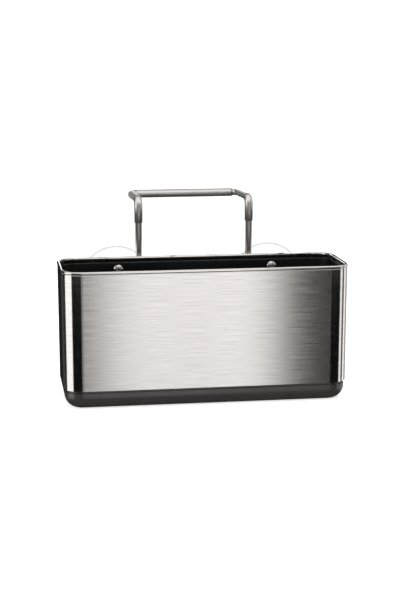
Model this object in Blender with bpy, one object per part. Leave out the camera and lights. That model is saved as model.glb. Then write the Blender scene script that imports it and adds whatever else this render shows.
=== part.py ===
"""Sink caddy: a slim steel-walled basket for washing-up tools that hangs inside a sink.

A brushed steel band with a rolled rim wraps a black liner. A charcoal drain tray closes the
bottom and pulls off downwards. Two brackets on the back hold clear suction cups and guide the
rods of a tube hoop that goes round the tap and slides up and down.
Metres, +Z up, the front faces -Y, and the origin is the centre of the tray's resting face.
"""
from math import acos, cos, floor, pi, radians, sin, tan

import bmesh
import bpy
from mathutils import Matrix, Quaternion, Vector

# Clearances
GAP = 0.00025                 # between touching or sliding pieces

# Body, measured on the steel's outer face at the rim
BODY_WIDTH = 0.236
BODY_DEPTH = 0.076
CORNER_RADIUS = 0.0167
RIM_HEIGHT = 0.1134
WALL_LEAN = 0.0005            # each side draws in this far from the rim to the steel's lower edge

# Steel wall
STEEL_THICKNESS = 0.0006
STEEL_BOTTOM = 0.0157         # resting face to the steel's lower edge
BEAD_RADIUS = 0.00135
BEAD_PROUD = 0.0004           # rolled rim beyond the wall's outer face

# Liner
LINER_THICKNESS = 0.0015
LINER_DROP = 0.0050           # rim top to the liner's top edge
LINER_EDGE_ROUND = 0.0005

# Drain tray
TRAY_INSET = 0.0012           # tray's outer face inside the steel's outer face
TRAY_FILLET = 0.011
TRAY_INNER_FILLET = 0.0075
TRAY_FLOOR = 0.0024
UPSTAND_THICKNESS = 0.0016
UPSTAND_HEIGHT = 0.008        # above the steel's lower edge, inside the liner
UPSTAND_CHAMFER = 0.0006
SLOT_WIDTH = 0.003
SLOT_LENGTH = 0.0195
SLOT_PITCH = 0.015
SLOT_SPINE = 0.0075           # solid strip between the two rows of slots
RIB_WIDTH = 0.0016
RIB_HEIGHT = 0.002
RIB_SINK = 0.0005             # rib's root inside the floor
RIB_END_MARGIN = 0.0012       # rib end to the floor's inner fillet

# Hoop
HOOP_HALF_SPAN = 0.0475       # centre to each riser
HOOP_RISE = 0.0473            # rim to the arms' centre line above the risers
ARM_REACH = 0.057
ARM_DROP = 0.0017             # the arms fall this far to the crossbar
TUBE_RADIUS = 0.0035
TUBE_BEND = 0.0065            # centre-line radius of the tube's bends
ROD_RADIUS = 0.0028
ROD_BEND = 0.0048             # centre-line radius of the reduced end's bend
SLEEVE_LENGTH = 0.0196        # arms' centre line to the tube's lower ends
ROD_ENGAGEMENT = 0.0115       # rod pressed up into each tube
PLUG_ENGAGEMENT = 0.015       # reduced end pushed into the crossbar
ROD_TAIL = 0.0315             # rod's lower end below the bracket
ROD_END_ROUND = 0.0012

# Rod stops
STOP_RADIUS = 0.0043
STOP_THICKNESS = 0.0014
STOP_LIFT = 0.0022            # rod's lower end to the stop

# Brackets, bushes and screws
BRACKET_DROP = 0.0002         # rolled rim's lower edge to the bracket's top
BRACKET_PLATE = 0.0023
BRACKET_CORNER = 0.005
BRACKET_CHAMFER = 0.0006
BRACKET_OUTBOARD = 0.0135     # cup centre to the plate's outer edge
GUIDE_WALL = 0.0014
BUSH_WALL = 0.0011
BUSH_DEPTH = 0.008
BUSH_PROUD = 0.0005
SOCKET_RADIUS = 0.012
KEYPLATE_THICKNESS = 0.0018
BOSS_RADIUS = 0.0044
BOSS_LENGTH = 0.0082
SCREW_RADIUS = 0.002
SCREW_TIP_CLEARANCE = 0.0009
SCREW_HEAD_RADIUS = 0.0043
SCREW_HEAD_HEIGHT = 0.0025
SCREW_RISE = 0.0138           # each screw above or below the cup's centre
UPPER_SCREW_MARGIN = 0.0079   # upper screw to the bracket's top
LOWER_SCREW_MARGIN = 0.0065   # lower screw to the bracket's lower edge

# Suction cups
CUP_OFFSET = 0.0185           # riser to the cup's centre
CUP_RADIUS = 0.0312
CUP_HEIGHT = 0.011            # lip plane to the hub's face
CUP_DOME_RISE = 0.0058        # lip plane to where the dome meets the hub
CUP_LIP_FLAT = 0.0016
CUP_LIP_EDGE = 0.0009
CUP_SKIN = 0.0013
CUP_DOME_POWER = 1.7          # 1 is a cone and 2 a parabola
HUB_RADIUS = 0.0085
HUB_TIP_RADIUS = 0.007
NECK_RADIUS = 0.0036
KNOB_RADIUS = 0.0062
KNOB_THICKNESS = 0.0028

# Smoothness
CORNER_STEPS = 8              # facets in each plan corner
BEAD_STEPS = 14
FILLET_STEPS = 5
BEND_STEPS = 8
SLOT_END_STEPS = 2            # facets in each quarter of a slot's round end
TUBE_SIDES = 16
CUP_SIDES = 32
SMALL_SIDES = 16
SMOOTH_ANGLE = radians(35)
CUTTER_REACH = 0.006          # how far a cutting shape runs past a face

# Places that follow from the sizes above
BACK_Y = BODY_DEPTH / 2
SEAT_Y = BACK_Y + GAP
HOOP_HEIGHT = RIM_HEIGHT + HOOP_RISE
SLEEVE_END = HOOP_HEIGHT - SLEEVE_LENGTH
BRACKET_TOP = RIM_HEIGHT - 2 * BEAD_RADIUS - BRACKET_DROP
CUP_CENTRE_X = HOOP_HALF_SPAN + CUP_OFFSET
CUP_CENTRE_Z = BRACKET_TOP - UPPER_SCREW_MARGIN - SCREW_RISE
SCREW_HEIGHTS = (CUP_CENTRE_Z + SCREW_RISE, CUP_CENTRE_Z - SCREW_RISE)
BRACKET_BOTTOM = CUP_CENTRE_Z - SCREW_RISE - LOWER_SCREW_MARGIN
ROD_BOTTOM = BRACKET_BOTTOM - ROD_TAIL
BORE_RADIUS = ROD_RADIUS + GAP
BUSH_RADIUS = BORE_RADIUS + BUSH_WALL
BUSH_POCKET_RADIUS = BUSH_RADIUS + GAP
GUIDE_RADIUS = BUSH_POCKET_RADIUS + GUIDE_WALL
ROD_Y = SEAT_Y + GUIDE_RADIUS
POCKET_FLOOR_Y = SEAT_Y + BRACKET_PLATE
KEYPLATE_FRONT_Y = POCKET_FLOOR_Y + GAP + KNOB_THICKNESS + GAP
KEYPLATE_BACK_Y = KEYPLATE_FRONT_Y + KEYPLATE_THICKNESS
LIP_Y = KEYPLATE_BACK_Y + GAP + CUP_HEIGHT
BAR_Y = ROD_Y + ARM_REACH
BAR_Z = HOOP_HEIGHT - ARM_DROP
SIDES = {"left": -1, "right": 1}


# Scene and objects

def clear_scene():
    for old in list(bpy.data.objects):
        bpy.data.objects.remove(old, do_unlink=True)


def finish(name, colour, roughness, metallic=0.0, transmission=0.0):
    """Principled material in the part's own colour."""
    material = bpy.data.materials.new(name)
    material.use_nodes = True
    shader = material.node_tree.nodes["Principled BSDF"]
    shader.inputs["Base Color"].default_value = (*colour, 1.0)
    shader.inputs["Roughness"].default_value = roughness
    shader.inputs["Metallic"].default_value = metallic
    shader.inputs["Transmission Weight"].default_value = transmission
    return material


def axis_marker(name, place):
    """Empty on a joint's axis, which carries the pieces that move together."""
    marker = bpy.data.objects.new(name, None)
    marker.location = place
    bpy.context.collection.objects.link(marker)
    return marker


def data_from(mesh):
    """Mesh data with outward faces and smooth round surfaces."""
    bmesh.ops.recalc_face_normals(mesh, faces=mesh.faces)
    data = bpy.data.meshes.new("shape")
    mesh.to_mesh(data)
    mesh.free()
    data.shade_smooth()
    data.set_sharp_from_angle(angle=SMOOTH_ANGLE)
    return data


def add_piece(name, data, material, place=(0, 0, 0), turn=(0, 0, 0), carrier=None):
    """One named sub-part, placed in the world and carried by a marker if it moves."""
    data.materials.clear()
    data.materials.append(material)
    piece = bpy.data.objects.new(name, data)
    piece.location = place
    piece.rotation_euler = turn
    if carrier:
        piece.parent = carrier
        piece.location = Vector(place) - carrier.location
    bpy.context.collection.objects.link(piece)
    return piece


def shape_with(target, operation, name, mesh):
    """Join or cut the target with a tool shape given in world coordinates."""
    tool = bpy.data.objects.new(name, data_from(mesh))
    tool.hide_render = True
    tool.display_type = "WIRE"
    bpy.context.collection.objects.link(tool)
    modifier = target.modifiers.new(name, "BOOLEAN")
    modifier.operation = operation
    modifier.solver = "EXACT"
    modifier.object = tool


# Shapes

def lofted(rings, closed=False):
    """Skin through equal rings: closed joins the last to the first, open is capped."""
    mesh = bmesh.new()
    loops = [[mesh.verts.new(point) for point in ring] for ring in rings]
    pairs = list(zip(loops, loops[1:]))
    if closed:
        pairs.append((loops[-1], loops[0]))
    else:
        mesh.faces.new(loops[0])
        mesh.faces.new(loops[-1])
    for lower, upper in pairs:
        for index in range(len(lower)):
            after = (index + 1) % len(lower)
            mesh.faces.new((lower[index], lower[after], upper[after], upper[index]))
    return mesh


def rounded_outline(half_u, half_v, radius, steps):
    """Rectangle with round corners, centred on the origin."""
    outline = []
    for quarter, (sign_u, sign_v) in enumerate(((1, 1), (-1, 1), (-1, -1), (1, -1))):
        for step in range(steps + 1):
            angle = (quarter + step / steps) * pi / 2
            outline.append((sign_u * (half_u - radius) + radius * cos(angle),
                            sign_v * (half_v - radius) + radius * sin(angle)))
    return outline


def plan_ring(inset, z):
    """Loop round the body at height z, drawn in by inset from the steel's face at the rim."""
    outline = rounded_outline(BODY_WIDTH / 2 - inset, BODY_DEPTH / 2 - inset,
                              CORNER_RADIUS - inset, CORNER_STEPS)
    return [Vector((x, y, z)) for x, y in outline]


def tongue_outline(half_width, straight, steps):
    """Strip with one round end about the origin and a straight end at -u."""
    arc = [(half_width * cos(angle), half_width * sin(angle))
           for angle in (pi * step / steps - pi / 2 for step in range(steps + 1))]
    return arc + [(-straight, half_width), (-straight, -half_width)]


def prism(outlines, place):
    """Solid through (height, outline) pairs, laid out by a placing matrix."""
    return lofted([[place @ Vector((u, v, height)) for u, v in outline] for height, outline in outlines])


def add_into(whole, part):
    """Put a finished shape into a larger one as a separate body."""
    data = bpy.data.meshes.new("body")
    part.to_mesh(data)
    part.free()
    whole.from_mesh(data)


def turned(profile, sides, places=(Matrix(),)):
    """Solid of revolution about local Z, once at each place; a profile off the axis is a ring."""
    mesh = bmesh.new()
    closed = profile[0][0] > 0 or profile[-1][0] > 0
    for place in places:
        loops = []
        for radius, height in profile:
            count = sides if radius > 0 else 1
            loops.append([mesh.verts.new(place @ Vector((radius * cos(2 * pi * side / count),
                                                         radius * sin(2 * pi * side / count), height)))
                          for side in range(count)])
        pairs = list(zip(loops, loops[1:]))
        if closed:
            pairs.append((loops[-1], loops[0]))
        for first, second in pairs:
            for side in range(sides):
                after = (side + 1) % sides
                corners = [first[side % len(first)], first[after % len(first)],
                           second[after % len(second)], second[side % len(second)]]
                mesh.faces.new(list(dict.fromkeys(corners)))
    return mesh


def arc(centre_u, centre_v, radius, start, end, steps):
    """Points along an arc, angles in radians from +u."""
    angles = [start + (end - start) * step / steps for step in range(steps + 1)]
    return [(centre_u + radius * cos(angle), centre_v + radius * sin(angle)) for angle in angles]


def facing_front(x, y, z):
    """Place whose local Z points to the front and local Y points up."""
    return Matrix.Translation((x, y, z)) @ Matrix.Rotation(pi / 2, 4, "X")


def bent_path(corners, bends):
    """Stations (point, direction) along straight runs joined by arcs of the given radii."""
    stations = [(corners[0], (corners[1] - corners[0]).normalized())]
    for before, corner, after, radius in zip(corners, corners[1:], corners[2:], bends):
        into = (corner - before).normalized()
        away = (after - corner).normalized()
        turn = into.angle(away)
        axis = into.cross(away).normalized()
        start = corner - into * radius * tan(turn / 2)
        centre = start + axis.cross(into) * radius
        for step in range(BEND_STEPS + 1):
            rotation = Quaternion(axis, turn * step / BEND_STEPS)
            stations.append((centre + rotation @ (start - centre), rotation @ into))
    stations.append((corners[-1], (corners[-1] - corners[-2]).normalized()))
    return stations


def swept(stations, radii):
    """Round bar along the stations, one radius each; equal points make a shoulder."""
    rings = []
    side = stations[0][1].orthogonal().normalized()
    previous = stations[0][1]
    for (point, direction), radius in zip(stations, radii):
        side = previous.rotation_difference(direction) @ side
        previous = direction
        across = direction.cross(side)
        rings.append([point + side * radius * cos(angle) + across * radius * sin(angle)
                      for angle in (2 * pi * index / TUBE_SIDES for index in range(TUBE_SIDES))])
    return lofted(rings)


def bar_between(start, end, radius):
    """Straight round bar, used to bore holes."""
    direction = (end - start).normalized()
    return swept([(start, direction), (end, direction)], [radius, radius])


def lean_at(z):
    """How far the steel's outer face has drawn in at height z."""
    return WALL_LEAN * (RIM_HEIGHT - z) / (RIM_HEIGHT - STEEL_BOTTOM)


def liner_face_y(z):
    """The liner's inner face on the back wall at height z."""
    return BACK_Y - lean_at(z) - STEEL_THICKNESS - GAP - LINER_THICKNESS


# Body pieces

def screw_holes():
    """Tool for the screw holes through the back of the steel and the liner."""
    length = 2 * CUTTER_REACH + STEEL_THICKNESS + LINER_THICKNESS
    hole = [(0, 0), (SCREW_RADIUS + GAP, 0), (SCREW_RADIUS + GAP, length), (0, length)]
    places = [facing_front(side * CUP_CENTRE_X, BACK_Y + CUTTER_REACH, z)
              for side in SIDES.values() for z in SCREW_HEIGHTS]
    return turned(hole, SMALL_SIDES, places)


def make_steel_wall(steel):
    """Sheet band with a rolled bead round the rim."""
    bead_inset = BEAD_RADIUS - BEAD_PROUD
    bead_z = RIM_HEIGHT - BEAD_RADIUS
    outer = lean_at(bead_z)
    outer_join = acos((bead_inset - outer) / BEAD_RADIUS)
    inner_join = acos((bead_inset - outer - STEEL_THICKNESS) / BEAD_RADIUS)
    profile = arc(bead_inset, bead_z, BEAD_RADIUS, pi + outer_join, inner_join - pi, BEAD_STEPS)
    profile.append((lean_at(STEEL_BOTTOM) + STEEL_THICKNESS, STEEL_BOTTOM))
    profile.append((lean_at(STEEL_BOTTOM), STEEL_BOTTOM))
    wall = lofted([plan_ring(inset, z) for inset, z in profile], closed=True)
    piece = add_piece("steel_wall", data_from(wall), steel)
    shape_with(piece, "DIFFERENCE", "steel_screw_holes", screw_holes())


def make_liner(plastic):
    """Moulded sleeve inside the steel, with a rounded top edge just under the rim."""
    top = RIM_HEIGHT - LINER_DROP
    outer_top = lean_at(top) + STEEL_THICKNESS + GAP
    outer_bottom = lean_at(STEEL_BOTTOM) + STEEL_THICKNESS + GAP
    round_centre = outer_top + LINER_THICKNESS - LINER_EDGE_ROUND
    profile = [(outer_bottom, STEEL_BOTTOM), (outer_top, top)]
    profile += [(inset, z) for inset, z in
                arc(round_centre, top - LINER_EDGE_ROUND, LINER_EDGE_ROUND, pi / 2, 0, 3)]
    profile.append((outer_bottom + LINER_THICKNESS, STEEL_BOTTOM))
    liner = lofted([plan_ring(inset, z) for inset, z in profile], closed=True)
    piece = add_piece("inner_liner", data_from(liner), plastic)
    shape_with(piece, "DIFFERENCE", "liner_screw_holes", screw_holes())


def tray_profile():
    """Section of the tray from the resting face, over the upstand, to the floor."""
    outer = WALL_LEAN + TRAY_INSET
    ledge = STEEL_BOTTOM - GAP
    upstand = WALL_LEAN + STEEL_THICKNESS + GAP + LINER_THICKNESS + GAP
    inner = upstand + UPSTAND_THICKNESS
    top = STEEL_BOTTOM + UPSTAND_HEIGHT
    profile = arc(outer + TRAY_FILLET, TRAY_FILLET, TRAY_FILLET, -pi / 2, -pi, FILLET_STEPS)
    profile += [(outer, ledge), (upstand, ledge), (upstand, top - UPSTAND_CHAMFER),
                (upstand + UPSTAND_CHAMFER, top), (inner, top)]
    profile += arc(inner + TRAY_INNER_FILLET, TRAY_FLOOR + TRAY_INNER_FILLET, TRAY_INNER_FILLET,
                   pi, 1.5 * pi, FILLET_STEPS)
    return profile


def tray_floor_half():
    """Half length and half depth of the flat floor inside the fillet."""
    inset = tray_profile()[-1][0]
    return BODY_WIDTH / 2 - inset, BODY_DEPTH / 2 - inset


def slot_positions():
    """X of each drain slot in a row, as many as the floor takes."""
    half_length, _ = tray_floor_half()
    count = floor((2 * half_length - 2 * SLOT_WIDTH) / SLOT_PITCH) + 1
    return [(index - (count - 1) / 2) * SLOT_PITCH for index in range(count)]


def make_tray(plastic):
    """Drain tray: round-bottomed shell, two rows of slots and ribs that keep its floor clear."""
    shell = lofted([plan_ring(inset, z) for inset, z in tray_profile()])
    piece = add_piece("drain_tray", data_from(shell), plastic)
    _, half_depth = tray_floor_half()
    columns = slot_positions()

    ribs = bmesh.new()
    rib_size = (RIB_WIDTH, 2 * (half_depth - RIB_END_MARGIN), RIB_HEIGHT + RIB_SINK)
    rib_z = TRAY_FLOOR + (RIB_HEIGHT - RIB_SINK) / 2
    for left, right in zip(columns, columns[1:]):
        place = Matrix.Translation(((left + right) / 2, 0, rib_z)) @ Matrix.Diagonal((*rib_size, 1))
        bmesh.ops.create_cube(ribs, size=1, matrix=place)
    shape_with(piece, "UNION", "tray_ribs", ribs)

    outline = rounded_outline(SLOT_WIDTH / 2, SLOT_LENGTH / 2, SLOT_WIDTH / 2, SLOT_END_STEPS)
    row_y = SLOT_SPINE / 2 + SLOT_LENGTH / 2
    rows = [(x, y) for x in columns for y in (-row_y, row_y)]
    slots = bmesh.new()
    for x, y in rows:
        place = Matrix.Translation((x, y, 0))
        slot = prism([(-CUTTER_REACH, outline), (TRAY_FLOOR + CUTTER_REACH, outline)], place)
        add_into(slots, slot)
    bmesh.ops.remove_doubles(slots, verts=slots.verts, dist=SLOT_WIDTH / 100)
    shape_with(piece, "DIFFERENCE", "drain_slots", slots)


# Back pieces

def make_bracket(side_name, plastic):
    """Moulded bracket: plate on the wall, cup socket open to the side, screw bosses, rod guide."""
    side = SIDES[side_name]
    inner_x = HOOP_HALF_SPAN - GUIDE_RADIUS
    outer_x = CUP_CENTRE_X + BRACKET_OUTBOARD
    half_u = (outer_x - inner_x) / 2
    half_v = (BRACKET_TOP - BRACKET_BOTTOM) / 2
    on_wall = Matrix.Translation((side * (inner_x + outer_x) / 2, 0, (BRACKET_TOP + BRACKET_BOTTOM) / 2))
    on_wall = on_wall @ Matrix.Rotation(-pi / 2, 4, "X")
    full = rounded_outline(half_u, half_v, BRACKET_CORNER, FILLET_STEPS)
    eased = rounded_outline(half_u - BRACKET_CHAMFER, half_v - BRACKET_CHAMFER,
                            BRACKET_CORNER - BRACKET_CHAMFER, FILLET_STEPS)
    plate = prism([(SEAT_Y, full), (POCKET_FLOOR_Y - BRACKET_CHAMFER, full), (POCKET_FLOOR_Y, eased)], on_wall)
    piece = add_piece("bracket_" + side_name, data_from(plate), plastic)

    sunk_y = SEAT_Y + BRACKET_PLATE / 2
    socket_depth = KEYPLATE_BACK_Y - sunk_y
    socket = [(0, 0), (SOCKET_RADIUS - BRACKET_CHAMFER, 0), (SOCKET_RADIUS, BRACKET_CHAMFER),
              (SOCKET_RADIUS, socket_depth), (0, socket_depth)]
    socket_place = facing_front(side * CUP_CENTRE_X, KEYPLATE_BACK_Y, CUP_CENTRE_Z)
    shape_with(piece, "UNION", "cup_socket_" + side_name, turned(socket, CUP_SIDES, [socket_place]))

    boss_end = SEAT_Y + BOSS_LENGTH
    boss = [(0, 0), (BOSS_RADIUS - BRACKET_CHAMFER, 0), (BOSS_RADIUS, BRACKET_CHAMFER),
            (BOSS_RADIUS, boss_end - sunk_y), (0, boss_end - sunk_y)]
    for level, z in zip(("upper", "lower"), SCREW_HEIGHTS):
        place = facing_front(side * CUP_CENTRE_X, boss_end, z)
        shape_with(piece, "UNION", f"{level}_boss_{side_name}", turned(boss, SMALL_SIDES, [place]))

    guide_place = Matrix(((0, side, 0, side * HOOP_HALF_SPAN), (1, 0, 0, ROD_Y), (0, 0, 1, 0), (0, 0, 0, 1)))
    guide = tongue_outline(GUIDE_RADIUS, ROD_Y - SEAT_Y, SMALL_SIDES // 2)
    guide_low = BRACKET_BOTTOM + BRACKET_CORNER / 2
    shape_with(piece, "UNION", "rod_guide_" + side_name,
               prism([(guide_low, guide), (BRACKET_TOP, guide)], guide_place))

    entry = BRACKET_OUTBOARD + CUTTER_REACH
    sideways = Matrix(((-side, 0, 0, side * CUP_CENTRE_X), (0, 0, 1, 0), (0, 1, 0, CUP_CENTRE_Z), (0, 0, 0, 1)))
    pocket = tongue_outline(KNOB_RADIUS + GAP, entry, SMALL_SIDES // 2)
    neck = tongue_outline(NECK_RADIUS + GAP, entry, SMALL_SIDES // 2)
    shape_with(piece, "DIFFERENCE", "knob_pocket_" + side_name,
               prism([(POCKET_FLOOR_Y, pocket), (KEYPLATE_FRONT_Y, pocket)], sideways))
    shape_with(piece, "DIFFERENCE", "neck_slot_" + side_name,
               prism([(KEYPLATE_FRONT_Y - GAP, neck), (KEYPLATE_BACK_Y + CUTTER_REACH, neck)], sideways))

    pilot_end = boss_end - SCREW_TIP_CLEARANCE
    pilot_length = pilot_end - SEAT_Y + CUTTER_REACH
    pilot = [(0, 0), (SCREW_RADIUS + GAP, 0), (SCREW_RADIUS + GAP, pilot_length), (0, pilot_length)]
    places = [facing_front(side * CUP_CENTRE_X, pilot_end, z) for z in SCREW_HEIGHTS]
    shape_with(piece, "DIFFERENCE", "pilot_holes_" + side_name, turned(pilot, SMALL_SIDES, places))

    rod_axis = Vector((side * HOOP_HALF_SPAN, ROD_Y, 0))
    below = rod_axis + Vector((0, 0, BRACKET_BOTTOM - CUTTER_REACH))
    above = rod_axis + Vector((0, 0, BRACKET_TOP + CUTTER_REACH))
    pocket_floor = rod_axis + Vector((0, 0, BRACKET_TOP + BUSH_PROUD - BUSH_DEPTH - GAP))
    shape_with(piece, "DIFFERENCE", "rod_bore_" + side_name, bar_between(below, above, BORE_RADIUS))
    shape_with(piece, "DIFFERENCE", "bush_pocket_" + side_name,
               bar_between(pocket_floor, above, BUSH_POCKET_RADIUS))


def make_bushes(nylon):
    """Nylon bush in the top of each rod guide, which grips the rod."""
    top = BRACKET_TOP + BUSH_PROUD
    profile = [(BORE_RADIUS, top - BUSH_DEPTH), (BUSH_RADIUS, top - BUSH_DEPTH),
               (BUSH_RADIUS, top - BUSH_PROUD), (BUSH_RADIUS - BUSH_PROUD, top), (BORE_RADIUS, top)]
    data = data_from(turned(profile, TUBE_SIDES))
    for side_name, side in SIDES.items():
        add_piece("rod_bush_" + side_name, data, nylon, (side * HOOP_HALF_SPAN, ROD_Y, 0))


def make_screws(steel):
    """Two pan-head screws for each bracket, driven from inside the liner."""
    tip_y = SEAT_Y + BOSS_LENGTH - 2 * SCREW_TIP_CLEARANCE
    for level, z in zip(("upper", "lower"), SCREW_HEIGHTS):
        head_y = liner_face_y(z) - GAP
        length = tip_y - head_y
        profile = [(0, -length), (SCREW_RADIUS / 2, -length), (SCREW_RADIUS, SCREW_RADIUS - length),
                   (SCREW_RADIUS, 0)]
        profile += [(SCREW_HEAD_RADIUS * cos(angle), SCREW_HEAD_HEIGHT * sin(angle))
                    for angle in (pi / 2 * step / FILLET_STEPS for step in range(FILLET_STEPS))]
        profile.append((0, SCREW_HEAD_HEIGHT))
        data = data_from(turned(profile, SMALL_SIDES))
        for side_name, side in SIDES.items():
            add_piece(f"{level}_bracket_screw_{side_name}", data, steel,
                      (side * CUP_CENTRE_X, head_y, z), (pi / 2, 0, 0))


def cup_profile():
    """Half section of a suction cup: height runs from the lip plane to the hub and the knob."""
    def dome(radius):
        reach = 1 - (radius / CUP_RADIUS) ** CUP_DOME_POWER
        return CUP_LIP_EDGE + (CUP_DOME_RISE - CUP_LIP_EDGE) * reach

    inner_lip = CUP_RADIUS - CUP_LIP_FLAT
    span = CUP_RADIUS - HUB_RADIUS
    outside = [CUP_RADIUS - span * step / FILLET_STEPS for step in range(FILLET_STEPS + 1)]
    inside = [inner_lip * (1 - step / FILLET_STEPS) for step in range(FILLET_STEPS + 1)]
    shoulder = (CUP_HEIGHT + dome(HUB_RADIUS)) / 2
    knob_low = CUP_HEIGHT + GAP + KEYPLATE_THICKNESS + GAP
    knob_edge = KNOB_THICKNESS / 4
    profile = [(radius, max(dome(radius) - CUP_SKIN, 0.0)) for radius in reversed(inside)]
    profile[-1] = (inner_lip, 0.0)
    profile.append((CUP_RADIUS, 0.0))
    profile += [(radius, dome(radius)) for radius in outside]
    profile += [(HUB_TIP_RADIUS, shoulder), (HUB_TIP_RADIUS, CUP_HEIGHT), (NECK_RADIUS, CUP_HEIGHT),
                (NECK_RADIUS, knob_low), (KNOB_RADIUS, knob_low),
                (KNOB_RADIUS, knob_low + KNOB_THICKNESS - knob_edge),
                (KNOB_RADIUS - knob_edge, knob_low + KNOB_THICKNESS), (0, knob_low + KNOB_THICKNESS)]
    return profile


def make_cups(vinyl):
    """Clear suction cups, each held in its bracket by a knob on a neck."""
    data = data_from(turned(cup_profile(), CUP_SIDES))
    for side_name, side in SIDES.items():
        add_piece("suction_cup_" + side_name, data, vinyl, (side * CUP_CENTRE_X, LIP_Y, CUP_CENTRE_Z),
                  (pi / 2, 0, 0))


# Hoop pieces

def make_hoop_left(steel, carrier):
    """Tube from the left riser's sleeve, along the arm and the crossbar to the seam."""
    riser = Vector((-HOOP_HALF_SPAN, ROD_Y, SLEEVE_END))
    seam_x = HOOP_HALF_SPAN - ROD_BEND
    corners = [riser, Vector((-HOOP_HALF_SPAN, ROD_Y, HOOP_HEIGHT)),
               Vector((-HOOP_HALF_SPAN, BAR_Y, BAR_Z)), Vector((seam_x, BAR_Y, BAR_Z))]
    stations = bent_path(corners, [TUBE_BEND, TUBE_BEND])
    tube = swept(stations, [TUBE_RADIUS] * len(stations))
    piece = add_piece("hoop_left", data_from(tube), steel, carrier=carrier)
    rod_end = riser + Vector((0, 0, ROD_ENGAGEMENT + GAP))
    shape_with(piece, "DIFFERENCE", "left_sleeve_bore",
               bar_between(riser - Vector((0, 0, CUTTER_REACH)), rod_end, BORE_RADIUS))
    plug_end = Vector((seam_x - PLUG_ENGAGEMENT - GAP, BAR_Y, BAR_Z))
    shape_with(piece, "DIFFERENCE", "crossbar_bore",
               bar_between(Vector((seam_x + CUTTER_REACH, BAR_Y, BAR_Z)), plug_end, BORE_RADIUS))


def make_hoop_right(steel, carrier):
    """Tube from the right riser's sleeve, reduced past the bend and plugged into the crossbar."""
    riser = Vector((HOOP_HALF_SPAN, ROD_Y, SLEEVE_END))
    plug_x = HOOP_HALF_SPAN - ROD_BEND - PLUG_ENGAGEMENT
    corners = [riser, Vector((HOOP_HALF_SPAN, ROD_Y, HOOP_HEIGHT)),
               Vector((HOOP_HALF_SPAN, BAR_Y, BAR_Z)), Vector((plug_x, BAR_Y, BAR_Z))]
    stations = bent_path(corners, [TUBE_BEND, ROD_BEND])
    first_bend_end = 1 + BEND_STEPS
    stations.insert(first_bend_end, stations[first_bend_end])
    wide = first_bend_end + 1
    radii = [TUBE_RADIUS] * wide + [ROD_RADIUS] * (len(stations) - wide)
    tube = swept(stations, radii)
    piece = add_piece("hoop_right", data_from(tube), steel, carrier=carrier)
    rod_end = riser + Vector((0, 0, ROD_ENGAGEMENT + GAP))
    shape_with(piece, "DIFFERENCE", "right_sleeve_bore",
               bar_between(riser - Vector((0, 0, CUTTER_REACH)), rod_end, BORE_RADIUS))


def make_rods(steel, carrier):
    """Round rods pressed into the sleeves, which slide in the brackets."""
    top = SLEEVE_END + ROD_ENGAGEMENT
    profile = [(0, ROD_BOTTOM), (ROD_RADIUS - ROD_END_ROUND, ROD_BOTTOM),
               (ROD_RADIUS, ROD_BOTTOM + ROD_END_ROUND), (ROD_RADIUS, top), (0, top)]
    data = data_from(turned(profile, TUBE_SIDES))
    for side_name, side in SIDES.items():
        add_piece("hoop_rod_" + side_name, data, steel, (side * HOOP_HALF_SPAN, ROD_Y, 0), carrier=carrier)


def make_rod_stops(steel, carrier):
    """Push-on rings near the rods' lower ends, which stop the hoop pulling out."""
    low = ROD_BOTTOM + STOP_LIFT
    profile = [(BORE_RADIUS, low), (STOP_RADIUS, low), (STOP_RADIUS, low + STOP_THICKNESS),
               (BORE_RADIUS, low + STOP_THICKNESS)]
    data = data_from(turned(profile, TUBE_SIDES))
    for side_name, side in SIDES.items():
        add_piece("rod_stop_" + side_name, data, steel, (side * HOOP_HALF_SPAN, ROD_Y, 0), carrier=carrier)


def build():
    clear_scene()
    brushed_steel = finish("brushed_stainless_steel", (0.62, 0.60, 0.58), 0.32, metallic=1.0)
    satin_steel = finish("satin_steel_tube", (0.58, 0.56, 0.54), 0.25, metallic=1.0)
    screw_steel = finish("polished_screw_steel", (0.66, 0.66, 0.66), 0.2, metallic=1.0)
    black_plastic = finish("black_liner_plastic", (0.012, 0.012, 0.013), 0.35)
    charcoal_plastic = finish("charcoal_tray_plastic", (0.06, 0.058, 0.058), 0.45)
    grey_plastic = finish("grey_bracket_plastic", (0.10, 0.10, 0.10), 0.5)
    nylon = finish("natural_nylon", (0.75, 0.74, 0.70), 0.5)
    vinyl = finish("clear_vinyl", (0.92, 0.93, 0.94), 0.1, transmission=1.0)

    make_steel_wall(brushed_steel)
    make_liner(black_plastic)
    make_tray(charcoal_plastic)
    for side_name in SIDES:
        make_bracket(side_name, grey_plastic)
    make_bushes(nylon)
    make_screws(screw_steel)
    make_cups(vinyl)
    hoop_axis = axis_marker("hoop_slide_axis", (0, ROD_Y, BRACKET_TOP))
    make_hoop_left(satin_steel, hoop_axis)
    make_hoop_right(satin_steel, hoop_axis)
    make_rods(satin_steel, hoop_axis)
    make_rod_stops(screw_steel, hoop_axis)


build()
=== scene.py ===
"""Looks of the sink caddy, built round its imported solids, in metres and in their frame."""
from itertools import accumulate
from math import acos, atan2, cos, dist, hypot, pi, radians, sin, tan

import bmesh
import bpy
from mathutils import Matrix, Vector


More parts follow.
